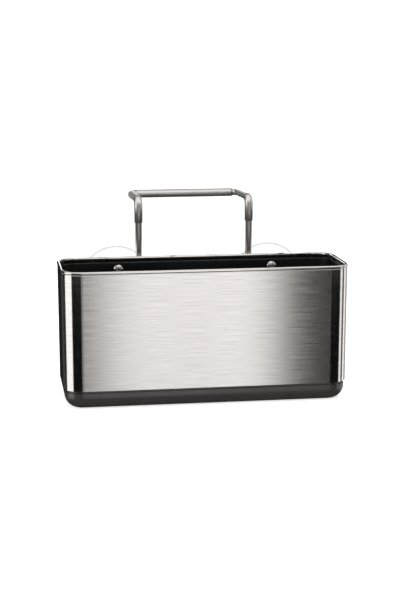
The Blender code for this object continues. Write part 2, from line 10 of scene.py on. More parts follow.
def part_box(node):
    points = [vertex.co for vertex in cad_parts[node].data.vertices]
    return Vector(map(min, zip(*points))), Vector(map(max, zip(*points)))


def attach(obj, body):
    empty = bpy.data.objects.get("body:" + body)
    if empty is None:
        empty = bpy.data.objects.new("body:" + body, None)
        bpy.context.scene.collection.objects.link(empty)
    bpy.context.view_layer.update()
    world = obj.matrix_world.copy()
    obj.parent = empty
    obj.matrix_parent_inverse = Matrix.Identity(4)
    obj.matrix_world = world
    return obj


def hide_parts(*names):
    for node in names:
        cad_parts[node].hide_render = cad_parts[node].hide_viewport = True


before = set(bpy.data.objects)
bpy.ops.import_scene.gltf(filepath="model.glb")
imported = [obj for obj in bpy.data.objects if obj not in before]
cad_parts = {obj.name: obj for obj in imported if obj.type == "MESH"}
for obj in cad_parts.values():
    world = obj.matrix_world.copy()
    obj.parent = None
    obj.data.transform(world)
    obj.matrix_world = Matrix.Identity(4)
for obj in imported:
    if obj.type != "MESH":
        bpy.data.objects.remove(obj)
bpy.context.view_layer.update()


# Steel wall
# A 0.6 mm stainless sheet bent into a band and welded at the middle of the back. It is brushed
# along its length, so its gloss spreads up and down but stays crisp sideways. The rim is rolled
# over and polished.

CORNER_RADIUS = 0.0167
WALL_LEAN = 0.0005            # the wall draws in this far from the rim to its lower edge
SHEET = 0.0006
SHEET_EDGE = 0.00012          # deburred lower edges
BEAD_RADIUS = 0.00135
BEAD_PROUD = 0.0004
CORNER_STEPS = 32
BEAD_STEPS = 24
FLAT_HOLD = 0.0003            # loop beside each bend that keeps the flat faces flat
CREASE_DEPTH = 0.0003         # where the rolled rim's free edge meets the wall
CREASE_HEIGHT = 0.0004
HOLE_RADIUS = 0.00225
HOLE_SIDES = 32
SMOOTH_ANGLE = radians(30)
HAIRLINE_LENGTH = 0.030
HAIRLINE_WIDTH = 0.0004       # real ones are about 0.15 mm, too fine to show
WELD_WIDTH = 0.0012
WELD_FADE = 0.00024           # its edges fade over this width
MOP_MARK = 0.004
NOISE_LOW = 0.3               # noise mostly lies between these two
NOISE_HIGH = 0.7
SIDES = ("left", "right")

wall_low, wall_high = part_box("steel_wall")
half_width = wall_high.x - BEAD_PROUD
half_depth = wall_high.y - BEAD_PROUD
rim_z = wall_high.z
sheet_low = wall_low.z


def linear(code):
    """An sRGB hex colour as the linear RGBA that shaders take."""
    channels = [int(code[place:place + 2], 16) / 255 for place in (1, 3, 5)]
    return (*[c / 12.92 if c <= 0.04045 else ((c + 0.055) / 1.055) ** 2.4 for c in channels], 1.0)


def add_node(tree, kind, settings, links):
    """One node: settings fill its properties or inputs, links join other nodes' outputs to it."""
    made = tree.nodes.new(kind)
    for name, value in settings.items():
        if hasattr(made, str(name)):
            setattr(made, name, value)
        else:
            made.inputs[name].default_value = value
    for name, source in links.items():
        tree.links.new(source, made.inputs[name])
    return made


def finish(name, code, roughness, **sockets):
    """Material with one Principled shader, whose sockets hold its plain values."""
    material = bpy.data.materials.new(name)
    material.use_nodes = True
    shader = material.node_tree.nodes["Principled BSDF"]
    shader.inputs["Base Color"].default_value = linear(code)
    shader.inputs["Roughness"].default_value = roughness
    for socket, value in sockets.items():
        shader.inputs[socket.replace("_", " ").title().replace("Ior", "IOR")].default_value = value
    return material, material.node_tree, shader


def follow(tree, shader, pattern, gloss=None, relief=None):
    """Lets a finish follow a pattern, its gloss between two roughnesses, its relief by a strength
    and a depth."""
    if gloss:
        ranged = add_node(tree, "ShaderNodeMapRange",
                          {"From Min": NOISE_LOW, "From Max": NOISE_HIGH,
                           "To Min": gloss[0], "To Max": gloss[1]}, {"Value": pattern})
        tree.links.new(ranged.outputs["Result"], shader.inputs["Roughness"])
    if relief:
        dented = add_node(tree, "ShaderNodeBump", {"Strength": relief[0], "Distance": relief[1]},
                          {"Height": pattern})
        tree.links.new(dented.outputs["Normal"], shader.inputs["Normal"])


def mottle(tree, size, detail):
    """Even noise in all directions, its grains about as large as the size given."""
    place = add_node(tree, "ShaderNodeTexCoord", {}, {})
    noise = add_node(tree, "ShaderNodeTexNoise", {"Scale": 1 / size, "Detail": detail},
                     {"Vector": place.outputs["Object"]})
    return noise.outputs["Fac"]


def lined_steel(name, code, roughness, tones, stretch, relief, gloss, **sockets):
    """Stainless with fine lines that run along its UV map, in tone, relief and gloss."""
    material, tree, shader = finish(name, code, roughness, metallic=1.0, **sockets)
    lengths = add_node(tree, "ShaderNodeUVMap", {"uv_map": "lengths"}, {})
    stretched = add_node(tree, "ShaderNodeMapping", {"Scale": stretch},
                         {"Vector": lengths.outputs["UV"]})
    noise = add_node(tree, "ShaderNodeTexNoise",
                     {"noise_dimensions": "2D", "Scale": 1.0, "Detail": 3.0, "Roughness": 0.6},
                     {"Vector": stretched.outputs["Vector"]})
    lines = noise.outputs["Fac"]
    share = add_node(tree, "ShaderNodeMapRange", {"From Min": NOISE_LOW, "From Max": NOISE_HIGH},
                     {"Value": lines})
    tone = add_node(tree, "ShaderNodeMix", {"data_type": "RGBA"},
                    {"Factor": share.outputs["Result"]})
    for end, tint in zip("AB", tones):
        tone.inputs[end].default_value = linear(tint)
    tree.links.new(tone.outputs["Result"], shader.inputs["Base Color"])
    follow(tree, shader, lines, gloss, relief)
    return material, tree, shader, tone.outputs["Result"]


def band_outline(inset):
    """Loop round the body in plan from the middle of the back, drawn in by inset."""
    radius = CORNER_RADIUS - inset
    reach_x = half_width - CORNER_RADIUS
    reach_y = half_depth - CORNER_RADIUS
    outline = [(0.0, half_depth - inset)]
    for quarter, (side_x, side_y) in enumerate(((-1, 1), (-1, -1), (1, -1), (1, 1))):
        start = (quarter + 1) * pi / 2
        end = start + pi / 2
        bend = [(side_x * reach_x + radius * cos(angle), side_y * reach_y + radius * sin(angle))
                for angle in (start + pi / 2 * step / CORNER_STEPS
                              for step in range(CORNER_STEPS + 1))]
        outline.append((bend[0][0] + FLAT_HOLD * sin(start), bend[0][1] - FLAT_HOLD * cos(start)))
        outline += bend
        outline.append((bend[-1][0] - FLAT_HOLD * sin(end), bend[-1][1] + FLAT_HOLD * cos(end)))
    return outline


def running_lengths(points):
    """Length along a closed outline at each of its points, and at the first again."""
    return [0.0, *accumulate(dist(a, b) for a, b in zip(points, points[1:] + points[:1]))]


def lofted_band(profile, closed, brushed=None):
    """Skin through (inset, height) pairs round the body, with real lengths as its UV map.

    Where one level is brushed, the others take the second material."""
    mesh = bmesh.new()
    lengths = mesh.loops.layers.uv.new("lengths")
    outlines = [band_outline(inset) for inset, _ in profile]
    rings = [[mesh.verts.new((x, y, z)) for x, y in outline]
             for outline, (_, z) in zip(outlines, profile)]
    along = [running_lengths(outline) for outline in outlines]
    up = running_lengths(profile)
    size = len(rings[0])
    if not closed:
        mesh.faces.new(rings[0])
        mesh.faces.new(rings[-1])
    for level in range(len(rings) - (not closed)):
        upper = (level + 1) % len(rings)
        for index in range(size):
            after = (index + 1) % size
            face = mesh.faces.new((rings[level][index], rings[level][after],
                                   rings[upper][after], rings[upper][index]))
            face.material_index = int(brushed is not None and level != brushed)
            corners = ((along[level][index], up[level]), (along[level][index + 1], up[level]),
                       (along[upper][index + 1], up[level + 1]),
                       (along[upper][index], up[level + 1]))
            for loop, corner in zip(face.loops, corners):
                loop[lengths].uv = corner
    return mesh


def mesh_from(mesh):
    """Blender mesh with its faces outwards, smooth but for its sharp edges."""
    bmesh.ops.recalc_face_normals(mesh, faces=mesh.faces)
    data = bpy.data.meshes.new("surface")
    mesh.to_mesh(data)
    mesh.free()
    data.shade_smooth()
    data.set_sharp_from_angle(angle=SMOOTH_ANGLE)
    return data


def piece_from(name, data, *materials):
    """Object for a piece, with its materials in order."""
    for material in materials:
        data.materials.append(material)
    piece = bpy.data.objects.new(name, data)
    bpy.context.collection.objects.link(piece)
    return piece


def shape_with(piece, operation, data):
    """Adds a Boolean with a shape that isn't shown."""
    tool = bpy.data.objects.new("tool", data)
    tool.hide_render = True
    bpy.context.collection.objects.link(tool)
    modifier = piece.modifiers.new(operation, "BOOLEAN")
    modifier.operation = operation
    modifier.object = tool


def settle(piece):
    """Turns a piece's modifiers into plain mesh and removes the shapes that they used."""
    bpy.context.view_layer.update()
    evaluated = piece.evaluated_get(bpy.context.evaluated_depsgraph_get())
    data = bpy.data.meshes.new_from_object(evaluated)
    tools = [modifier.object for modifier in piece.modifiers if modifier.type == "BOOLEAN"]
    piece.modifiers.clear()
    for tool in tools:
        bpy.data.objects.remove(tool)
    data.shade_smooth()
    data.set_sharp_from_angle(angle=SMOOTH_ANGLE)
    piece.data = data
    return piece


def circle(centre_u, centre_v, radius, start, end, steps):
    """Points of an arc, its angles in degrees from +u."""
    angles = [radians(start + (end - start) * step / steps) for step in range(steps + 1)]
    return [(centre_u + radius * cos(angle), centre_v + radius * sin(angle)) for angle in angles]


def round_bar(start, end, radius, sides):
    """Plain round bar between two points, for bosses and bored holes."""
    mesh = bmesh.new()
    axis = Vector(end) - Vector(start)
    turn = axis.to_track_quat("Z", "Y").to_matrix().to_4x4()
    place = Matrix.Translation((Vector(start) + Vector(end)) / 2) @ turn
    bmesh.ops.create_cone(mesh, cap_ends=True, segments=sides, radius1=radius, radius2=radius,
                          depth=axis.length, matrix=place)
    return mesh_from(mesh)


def drill_for_screws(piece):
    """Bores the four screw holes through a wall at the back."""
    for x, head_y, tip_y, z in screws.values():
        shape_with(piece, "DIFFERENCE",
                   round_bar((x, head_y, z), (x, tip_y, z), HOLE_RADIUS, HOLE_SIDES))


def lean_at(z):
    """How far the wall's outer face has drawn in at height z."""
    return WALL_LEAN * (rim_z - z) / (rim_z - sheet_low)


def brushed_stainless():
    """Brushed stainless sheet: long fine hairlines, and a dull weld line at the back."""
    material, tree, shader, tone = lined_steel(
        "brushed_stainless_sheet", "#d2cecb", 0.18, tones=("#c4c0bd", "#dedad7"),
        stretch=(1 / HAIRLINE_LENGTH, 1 / HAIRLINE_WIDTH, 1.0), relief=(0.3, 0.00002),
        gloss=(0.16, 0.2), anisotropic=1.0, anisotropic_rotation=0.25)
    place = add_node(tree, "ShaderNodeTexCoord", {}, {})
    axes = add_node(tree, "ShaderNodeSeparateXYZ", {}, {"Vector": place.outputs["Object"]})
    from_middle = add_node(tree, "ShaderNodeMath", {"operation": "ABSOLUTE"},
                           {0: axes.outputs["X"]})
    at_back = add_node(tree, "ShaderNodeMath", {"operation": "GREATER_THAN", 1: 0.0},
                       {0: axes.outputs["Y"]})
    on_line = add_node(tree, "ShaderNodeMapRange",
                       {"From Min": (WELD_WIDTH - WELD_FADE) / 2,
                        "From Max": (WELD_WIDTH + WELD_FADE) / 2, "To Min": 1.0, "To Max": 0.0},
                       {"Value": from_middle.outputs["Value"]})
    weld = add_node(tree, "ShaderNodeMath", {"operation": "MULTIPLY"},
                    {0: on_line.outputs["Result"], 1: at_back.outputs["Value"]})
    welded = add_node(tree, "ShaderNodeMix", {"data_type": "RGBA"},
                      {"Factor": weld.outputs["Value"], "A": tone})
    welded.inputs["B"].default_value = linear("#9a928b")
    grain = add_node(tree, "ShaderNodeTangent",
                     {"direction_type": "UV_MAP", "uv_map": "lengths"}, {})
    tree.links.new(welded.outputs["Result"], shader.inputs["Base Color"])
    tree.links.new(grain.outputs["Tangent"], shader.inputs["Tangent"])
    return material


def polished_stainless():
    """Polished stainless: near mirror, with a trace of the polishing mop in its gloss."""
    material, tree, shader = finish("polished_stainless_rim", "#d0cdca", 0.1, metallic=1.0)
    follow(tree, shader, mottle(tree, MOP_MARK, 3.0), gloss=(0.08, 0.13))
    return material


bead_inset = BEAD_RADIUS - BEAD_PROUD
bead_z = rim_z - BEAD_RADIUS
outer_meet = acos((bead_inset - lean_at(bead_z) - CREASE_DEPTH) / BEAD_RADIUS)
inner_meet = acos((bead_inset - lean_at(bead_z) - SHEET) / BEAD_RADIUS)
bead_turn = inner_meet - outer_meet - 2 * pi
wall_profile = [(bead_inset + BEAD_RADIUS * cos(angle), bead_z + BEAD_RADIUS * sin(angle))
                for angle in (pi + outer_meet + bead_turn * step / BEAD_STEPS
                              for step in range(BEAD_STEPS + 1))]
crease_z = wall_profile[0][1] - CREASE_HEIGHT
wall_profile += [(WALL_LEAN + SHEET, sheet_low + SHEET_EDGE),
                 (WALL_LEAN + SHEET - SHEET_EDGE, sheet_low),
                 (WALL_LEAN + SHEET_EDGE, sheet_low), (WALL_LEAN, sheet_low + SHEET_EDGE),
                 (lean_at(crease_z), crease_z)]
band = lofted_band(wall_profile, closed=True, brushed=len(wall_profile) - 2)
steel_band = piece_from("brushed_steel_band", mesh_from(band),
                        brushed_stainless(), polished_stainless())
screws = {}
for side in SIDES:
    for level in ("upper", "lower"):
        low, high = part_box(f"{level}_bracket_screw_{side}")
        screws[level, side] = ((low.x + high.x) / 2, low.y, high.y, (low.z + high.z) / 2)
drill_for_screws(steel_band)
settle(steel_band)
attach(steel_band, "caddy")
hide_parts("steel_wall")


# Liner
# A black polypropylene sleeve, injection moulded, that drops inside the steel. Its top edge is
# rounded and catches a thin line of light, and its faces have a fine spark-eroded texture.

GAP = 0.00025                 # between touching pieces
LINER_WALL = 0.0015
LINER_EDGE_ROUND = 0.0005
LINER_EDGE_STEPS = 6
MOULD_GRAIN = 0.0004          # spark-eroded mould texture
HANDLING_MARK = 0.03          # duller and glossier patches from use

liner_low, liner_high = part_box("inner_liner")


def moulded_plastic(name, code, roughness, relief_strength, **sockets):
    """Moulded plastic: plain colour, its mould's fine texture, and a gloss that use has varied."""
    material, tree, shader = finish(name, code, roughness, **sockets)
    follow(tree, shader, mottle(tree, MOULD_GRAIN, 2.0), relief=(relief_strength, MOULD_GRAIN / 10))
    follow(tree, shader, mottle(tree, HANDLING_MARK, 3.0),
           gloss=(roughness - 0.04, roughness + 0.04))
    return material


liner_top = liner_high.z
top_inset = lean_at(liner_top) + SHEET + GAP
low_inset = WALL_LEAN + SHEET + GAP
liner_profile = [(low_inset, liner_low.z)]
for inset, start in ((LINER_EDGE_ROUND, 180), (LINER_WALL - LINER_EDGE_ROUND, 90)):
    liner_profile += circle(top_inset + inset, liner_top - LINER_EDGE_ROUND, LINER_EDGE_ROUND,
                            start, start - 90, LINER_EDGE_STEPS)
liner_profile.append((low_inset + LINER_WALL, liner_low.z))
liner_plastic = moulded_plastic("black_polypropylene", "#060607", 0.42, 0.2, specular_ior_level=0.3)
band = lofted_band(liner_profile, closed=True)
black_liner = piece_from("black_liner_sleeve", mesh_from(band), liner_plastic)
drill_for_screws(black_liner)
settle(black_liner)
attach(black_liner, "caddy")
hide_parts("inner_liner")


# Drain tray
# The bottom of the caddy, moulded in charcoal ABS with a satin texture: a round-edged dish whose
# upstand plugs into the liner. Two rows of slots let water out, and ribs keep its floor clear.

TRAY_INSET = 0.0012
TRAY_FILLET = 0.011
TRAY_INNER_FILLET = 0.0075
TRAY_FLOOR = 0.0024
UPSTAND_WALL = 0.0016
UPSTAND_ROUND = 0.0006
EDGE_ROUND = 0.0004
JOINT_HEIGHT = 0.0016         # shadow gap between the steel and the tray's outer face
JOINT_DEPTH = 0.0009
SLOT_WIDTH = 0.003
SLOT_LENGTH = 0.0195
SLOT_PITCH = 0.015
SLOT_SPINE = 0.0075           # solid strip between the two rows
RIB_WIDTH = 0.0016
RIB_HEIGHT = 0.002
RIB_SINK = 0.0005
RIB_END_MARGIN = 0.0012
RIB_ROUND = 0.35              # of its width
SLOT_ROUND = 0.499            # of its width: all but a full half circle
ROUND_STEPS = 6
FILLET_STEPS = 20
INNER_FILLET_STEPS = 14
UPSTAND_STEPS = 4
LIP_STEPS = 3
CUT_REACH = 0.004             # how far a cut starts outside the material

tray_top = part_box("drain_tray")[1].z
ledge_z = sheet_low - GAP
tray_outer = WALL_LEAN + TRAY_INSET
upstand = WALL_LEAN + SHEET + 2 * GAP + LINER_WALL
tray_inner = upstand + UPSTAND_WALL
tray_profile = circle(tray_outer + TRAY_FILLET, TRAY_FILLET, TRAY_FILLET, 270, 180, FILLET_STEPS)
tray_profile += circle(tray_outer + EDGE_ROUND, ledge_z - JOINT_HEIGHT - EDGE_ROUND, EDGE_ROUND,
                       180, 90, UPSTAND_STEPS)
tray_profile += [(tray_outer + JOINT_DEPTH, ledge_z - JOINT_HEIGHT),
                 (tray_outer + JOINT_DEPTH, ledge_z), (upstand, ledge_z)]
tray_profile += circle(upstand + UPSTAND_ROUND, tray_top - UPSTAND_ROUND, UPSTAND_ROUND,
                       180, 90, UPSTAND_STEPS)
tray_profile += circle(tray_inner - EDGE_ROUND, tray_top - EDGE_ROUND, EDGE_ROUND, 90, 0, LIP_STEPS)
tray_profile += circle(tray_inner + TRAY_INNER_FILLET, TRAY_FLOOR + TRAY_INNER_FILLET,
                       TRAY_INNER_FILLET, 180, 270, INNER_FILLET_STEPS)
floor_inset = tray_profile[-1][0]
slots_in_row = int((2 * (half_width - floor_inset) - 2 * SLOT_WIDTH) / SLOT_PITCH) + 1
rib_length = 2 * (half_depth - floor_inset - RIB_END_MARGIN)


def group_with(name, inputs):
    """Empty node tree with named inputs after its geometry, and its input and output nodes."""
    tree = bpy.data.node_groups.new(name, "GeometryNodeTree")
    tree.interface.new_socket("Geometry", in_out="INPUT", socket_type="NodeSocketGeometry")
    for title, kind in inputs.items():
        tree.interface.new_socket(title, in_out="INPUT", socket_type="NodeSocket" + kind)
    tree.interface.new_socket("Geometry", in_out="OUTPUT", socket_type="NodeSocketGeometry")
    return tree, tree.nodes.new("NodeGroupInput").outputs, tree.nodes.new("NodeGroupOutput").inputs


def grow(piece, tree, values):
    """Runs a node tree on a piece, its inputs set by their sockets' identifiers."""
    modifier = piece.modifiers.new(tree.name, "NODES")
    modifier.node_group = tree
    for socket in tree.interface.items_tree:
        if socket.in_out == "INPUT" and socket.name in values:
            modifier[socket.identifier] = values[socket.name]
    return settle(piece)


def drain_tree():
    """Node tree that adds a row of round-topped ribs to the tray and cuts two rows of slots."""
    tree, given, result = group_with("ribs_and_slots", {
        "Pitch": "Vector", "Ribs": "Int", "First Rib": "Vector", "Rib Width": "Float",
        "Rib Height": "Float", "Rib Corner": "Float", "Rib Start": "Vector", "Rib End": "Vector",
        "Slots": "Int", "Row Length": "Float", "Row Spacing": "Float", "Slot Width": "Float",
        "Slot Length": "Float", "Slot Corner": "Float", "Cut Start": "Vector", "Cut End": "Vector",
        "Material": "Material"})

    def prism(width, height, corner, start, end):
        outline = add_node(tree, "GeometryNodeCurvePrimitiveQuadrilateral", {},
                           {"Width": given[width], "Height": given[height]})
        rounded = add_node(tree, "GeometryNodeFilletCurve", {"mode": "POLY", "Count": ROUND_STEPS},
                           {"Curve": outline.outputs["Curve"], "Radius": given[corner]})
        line = add_node(tree, "GeometryNodeCurvePrimitiveLine", {},
                        {"Start": given[start], "End": given[end]})
        solid = add_node(tree, "GeometryNodeCurveToMesh", {"Fill Caps": True},
                         {"Curve": line.outputs["Curve"],
                          "Profile Curve": rounded.outputs["Curve"]})
        return solid.outputs["Mesh"]

    def copies(points, shape):
        placed = add_node(tree, "GeometryNodeInstanceOnPoints", {},
                          {"Points": points.outputs["Mesh"], "Instance": shape})
        real = add_node(tree, "GeometryNodeRealizeInstances", {},
                        {"Geometry": placed.outputs["Instances"]})
        return real.outputs["Geometry"]

    rib_places = add_node(tree, "GeometryNodeMeshLine", {"mode": "OFFSET"},
                          {"Count": given["Ribs"], "Start Location": given["First Rib"],
                           "Offset": given["Pitch"]})
    rib = prism("Rib Width", "Rib Height", "Rib Corner", "Rib Start", "Rib End")
    slot_places = add_node(tree, "GeometryNodeMeshGrid", {"Vertices Y": 2},
                           {"Size X": given["Row Length"], "Size Y": given["Row Spacing"],
                            "Vertices X": given["Slots"]})
    slot = prism("Slot Width", "Slot Length", "Slot Corner", "Cut Start", "Cut End")
    ribbed = add_node(tree, "GeometryNodeMeshBoolean", {"operation": "UNION", "solver": "EXACT"},
                      {"Mesh 2": given["Geometry"]})
    tree.links.new(copies(rib_places, rib), ribbed.inputs["Mesh 2"])
    slotted = add_node(tree, "GeometryNodeMeshBoolean",
                       {"operation": "DIFFERENCE", "solver": "EXACT"},
                       {"Mesh 1": ribbed.outputs["Mesh"], "Mesh 2": copies(slot_places, slot)})
    finished = add_node(tree, "GeometryNodeSetMaterial", {},
                        {"Geometry": slotted.outputs["Mesh"], "Material": given["Material"]})
    tree.links.new(finished.outputs["Geometry"], result["Geometry"])
    return tree


charcoal_plastic = moulded_plastic("charcoal_satin_abs", "#393735", 0.27, 0.2,
                                   specular_ior_level=0.7)
dish = lofted_band(tray_profile, closed=False)
charcoal_tray = piece_from("charcoal_drain_tray", mesh_from(dish), charcoal_plastic)
ribs_in_row = slots_in_row - 1
rib_z = TRAY_FLOOR + (RIB_HEIGHT - RIB_SINK) / 2
cut_depth = TRAY_FLOOR + CUT_REACH
grow(charcoal_tray, drain_tree(), {
    "Pitch": (SLOT_PITCH, 0.0, 0.0), "Ribs": ribs_in_row,
    "First Rib": (-SLOT_PITCH * (ribs_in_row - 1) / 2, 0.0, rib_z),
    "Rib Width": RIB_WIDTH, "Rib Height": RIB_HEIGHT + RIB_SINK,
    "Rib Corner": RIB_WIDTH * RIB_ROUND, "Rib Start": (0.0, -rib_length / 2, 0.0),
    "Rib End": (0.0, rib_length / 2, 0.0),
    "Slots": slots_in_row, "Row Length": SLOT_PITCH * ribs_in_row,
    "Row Spacing": SLOT_SPINE + SLOT_LENGTH, "Slot Width": SLOT_WIDTH, "Slot Length": SLOT_LENGTH,
    "Slot Corner": SLOT_WIDTH * SLOT_ROUND, "Cut Start": (0.0, 0.0, -cut_depth),
    "Cut End": (0.0, 0.0, cut_depth), "Material": charcoal_plastic})
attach(charcoal_tray, "tray")
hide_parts("drain_tray")


# Brackets
# Two dark grey ABS mouldings on the back, each with a socket for a cup's knob, bosses for two
# screws and a round guide for a rod. All their outer edges are eased by the mould.

BRACKET_PLATE = 0.0023
BRACKET_CORNER = 0.005
BRACKET_CORNER_STEPS = 12
BRACKET_EASE = 0.0004
EASE_SEGMENTS = 2
EASE_ANGLE = radians(50)      # edges sharper than this are eased
SOCKET_RADIUS = 0.012
SOCKET_SIDES = 64
KEYPLATE = 0.0018
KNOB_DEPTH = 0.0028
KNOB_RADIUS = 0.0062
NECK_RADIUS = 0.0036
BOSS_RADIUS = 0.0044
SCREW_TIP_SPARE = 0.0009
GUIDE_WALL = 0.0014
BUSH_WALL = 0.0011
BUSH_DEPTH = 0.008
BUSH_PROUD = 0.0005
TONGUE_STEPS = 24
NECK_STEPS = 20
ROUND_SIDES = 48

rods = {}
for side in SIDES:
    low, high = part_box("hoop_rod_" + side)
    rods[side] = ((low.x + high.x) / 2, (low.y + high.y) / 2, low.z, high.z)
rod_radius = (high.x - low.x) / 2
bore_radius = rod_radius + GAP
bush_radius = bore_radius + BUSH_WALL
guide_radius = bush_radius + GAP + GUIDE_WALL


def round_cornered(half_u, half_v, radius, steps):
    """Rectangle with round corners, centred on the origin."""
    outline = []
    for quarter, (side_u, side_v) in enumerate(((1, 1), (-1, 1), (-1, -1), (1, -1))):
        outline += circle(side_u * (half_u - radius), side_v * (half_v - radius), radius,
                          90 * quarter, 90 * quarter + 90, steps)
    return outline


def tongue(half_width_u, straight, steps):
    """Strip with a round end about the origin and a straight end at -u."""
    return [*circle(0.0, 0.0, half_width_u, -90, 90, steps),
            (-straight, half_width_u), (-straight, -half_width_u)]


def slab(outline, low, high, place):
    """Straight-sided solid from an outline, laid out by a placing matrix."""
    mesh = bmesh.new()
    ends = [[mesh.verts.new(place @ Vector((u, v, height))) for u, v in outline]
            for height in (low, high)]
    mesh.faces.new(ends[0])
    mesh.faces.new(ends[1])
    for index in range(len(outline)):
        after = (index + 1) % len(outline)
        mesh.faces.new((ends[0][index], ends[0][after], ends[1][after], ends[1][index]))
    return mesh_from(mesh)


def make_bracket(side, plastic):
    """One bracket: plate, socket, bosses and guide joined, then its slots and bores cut."""
    sign = -1 if side == "left" else 1
    low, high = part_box("bracket_" + side)
    cup_low, cup_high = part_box("suction_cup_" + side)
    cup_x, cup_z = (cup_low.x + cup_high.x) / 2, (cup_low.z + cup_high.z) / 2
    rod_x, rod_y, _, _ = rods[side]
    seat_y = low.y
    plate_y = seat_y + BRACKET_PLATE
    keyplate_y = plate_y + 2 * GAP + KNOB_DEPTH
    socket_y = keyplate_y + KEYPLATE
    boss_y = screws["upper", side][2] + 2 * SCREW_TIP_SPARE
    inside_y = seat_y + BRACKET_PLATE / 2
    top = high.z + CUT_REACH
    pocket_z = high.z + BUSH_PROUD - BUSH_DEPTH - GAP
    entry = abs(high.x if sign > 0 else low.x) - abs(cup_x) + CUT_REACH
    upright = Matrix(((1, 0, 0, 0), (0, 0, 1, 0), (0, 1, 0, 0), (0, 0, 0, 1)))
    middle = Matrix.Translation(((low.x + high.x) / 2, 0, (low.z + high.z) / 2))
    flat = Matrix(((0, sign, 0, rod_x), (1, 0, 0, rod_y), (0, 0, 1, 0), (0, 0, 0, 1)))
    sideways = Matrix(((-sign, 0, 0, cup_x), (0, 0, 1, 0), (0, 1, 0, cup_z), (0, 0, 0, 1)))

    def across(start_y, end_y, z, radius, sides):
        return round_bar((cup_x, start_y, z), (cup_x, end_y, z), radius, sides)

    def along_rod(start_z, radius):
        return round_bar((rod_x, rod_y, start_z), (rod_x, rod_y, top), radius, ROUND_SIDES)

    plate = slab(round_cornered((high.x - low.x) / 2, (high.z - low.z) / 2, BRACKET_CORNER,
                                BRACKET_CORNER_STEPS), seat_y, plate_y, middle @ upright)
    piece = piece_from("moulded_bracket_" + side, plate, plastic)
    shape_with(piece, "UNION", across(inside_y, socket_y, cup_z, SOCKET_RADIUS, SOCKET_SIDES))
    boss_heights = [screws[level, side][3] for level in ("upper", "lower")]
    for z in boss_heights:
        shape_with(piece, "UNION", across(inside_y, boss_y, z, BOSS_RADIUS, ROUND_SIDES))
    shape_with(piece, "UNION", slab(tongue(guide_radius, rod_y - seat_y, TONGUE_STEPS),
                                    low.z + BRACKET_CORNER / 2, high.z, flat))
    shape_with(piece, "DIFFERENCE", slab(tongue(KNOB_RADIUS + GAP, entry, TONGUE_STEPS),
                                         plate_y, keyplate_y, sideways))
    shape_with(piece, "DIFFERENCE", slab(tongue(NECK_RADIUS + GAP, entry, NECK_STEPS),
                                         keyplate_y - GAP, socket_y + CUT_REACH, sideways))
    for z in boss_heights:
        shape_with(piece, "DIFFERENCE", across(seat_y - CUT_REACH, boss_y - SCREW_TIP_SPARE, z,
                                               HOLE_RADIUS, HOLE_SIDES))
    shape_with(piece, "DIFFERENCE", along_rod(low.z - CUT_REACH, bore_radius))
    shape_with(piece, "DIFFERENCE", along_rod(pocket_z, bush_radius + GAP))
    ease = piece.modifiers.new("ease", "BEVEL")
    ease.width = BRACKET_EASE
    ease.segments = EASE_SEGMENTS
    ease.limit_method = "ANGLE"
    ease.angle_limit = EASE_ANGLE
    settle(piece)
    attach(piece, "caddy")
    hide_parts("bracket_" + side)


bracket_plastic = moulded_plastic("dark_grey_abs", "#5a5a5a", 0.48, 0.35)
for side in SIDES:
    make_bracket(side, bracket_plastic)


# Rod bushes
# A natural nylon bush in the top of each guide, moulded smooth, that grips the rod. Nylon is a
# milky off-white that lets a little light in.

BUSH_EASE = 0.00015
WIDEST_EASE = 0.4             # of a side, so that two eases don't meet


def turned(profile, sides, place):
    """Solid of revolution about local Z, or a ring where the profile stays off the axis.

    Its UV map holds real lengths, round it and then along it."""
    mesh = bmesh.new()
    lengths = mesh.loops.layers.uv.new("lengths")
    closed = profile[0][0] > 0 or profile[-1][0] > 0
    rings = []
    for radius, height in profile:
        count = sides if radius > 0 else 1
        rings.append([mesh.verts.new(place @ Vector((radius * cos(2 * pi * side / count),
                                                     radius * sin(2 * pi * side / count), height)))
                      for side in range(count)])
    up = running_lengths(profile)
    widest = max(radius for radius, _ in profile)
    for level in range(len(rings) - (not closed)):
        first, second = rings[level], rings[(level + 1) % len(rings)]
        for side in range(sides):
            after = (side + 1) % sides
            corners = {first[side % len(first)]: (side, up[level]),
                       first[after % len(first)]: (side + 1, up[level]),
                       second[after % len(second)]: (side + 1, up[level + 1]),
                       second[side % len(second)]: (side, up[level + 1])}
            face = mesh.faces.new(list(corners))
            for loop in face.loops:
                turn, height = corners[loop.vert]
                loop[lengths].uv = (2 * pi * widest * turn / sides, height)
    return mesh_from(mesh)


def eased(profile, ease):
    """Closed section with its corners cut back by a short ease."""
    softened = []
    befores, afters = profile[-1:] + profile[:-1], profile[1:] + profile[:1]
    for before, corner, after in zip(befores, profile, afters):
        for other in (before, after):
            share = min(ease / dist(corner, other), WIDEST_EASE)
            softened.append(tuple(c + (o - c) * share for c, o in zip(corner, other)))
    return softened


nylon = moulded_plastic("natural_nylon", "#e4e1d8", 0.45, 0.15,
                        subsurface_weight=0.15, subsurface_scale=0.002)
for side in SIDES:
    rod_x, rod_y, _, _ = rods[side]
    low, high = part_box("rod_bush_" + side)
    section = [(bore_radius, low.z), (bush_radius, low.z), (bush_radius, high.z - BUSH_PROUD),
               (bush_radius - BUSH_PROUD, high.z), (bore_radius, high.z)]
    bush = piece_from("nylon_bush_" + side,
                      turned(eased(section, BUSH_EASE), ROUND_SIDES,
                             Matrix.Translation((rod_x, rod_y, 0))), nylon)
    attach(bush, "caddy")
    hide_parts("rod_bush_" + side)


# Bracket screws
# Four pan-head stainless screws with cross recesses, driven from inside the liner. Their heads
# are cold formed and tumbled bright, and keep the small dents of the tumbling.

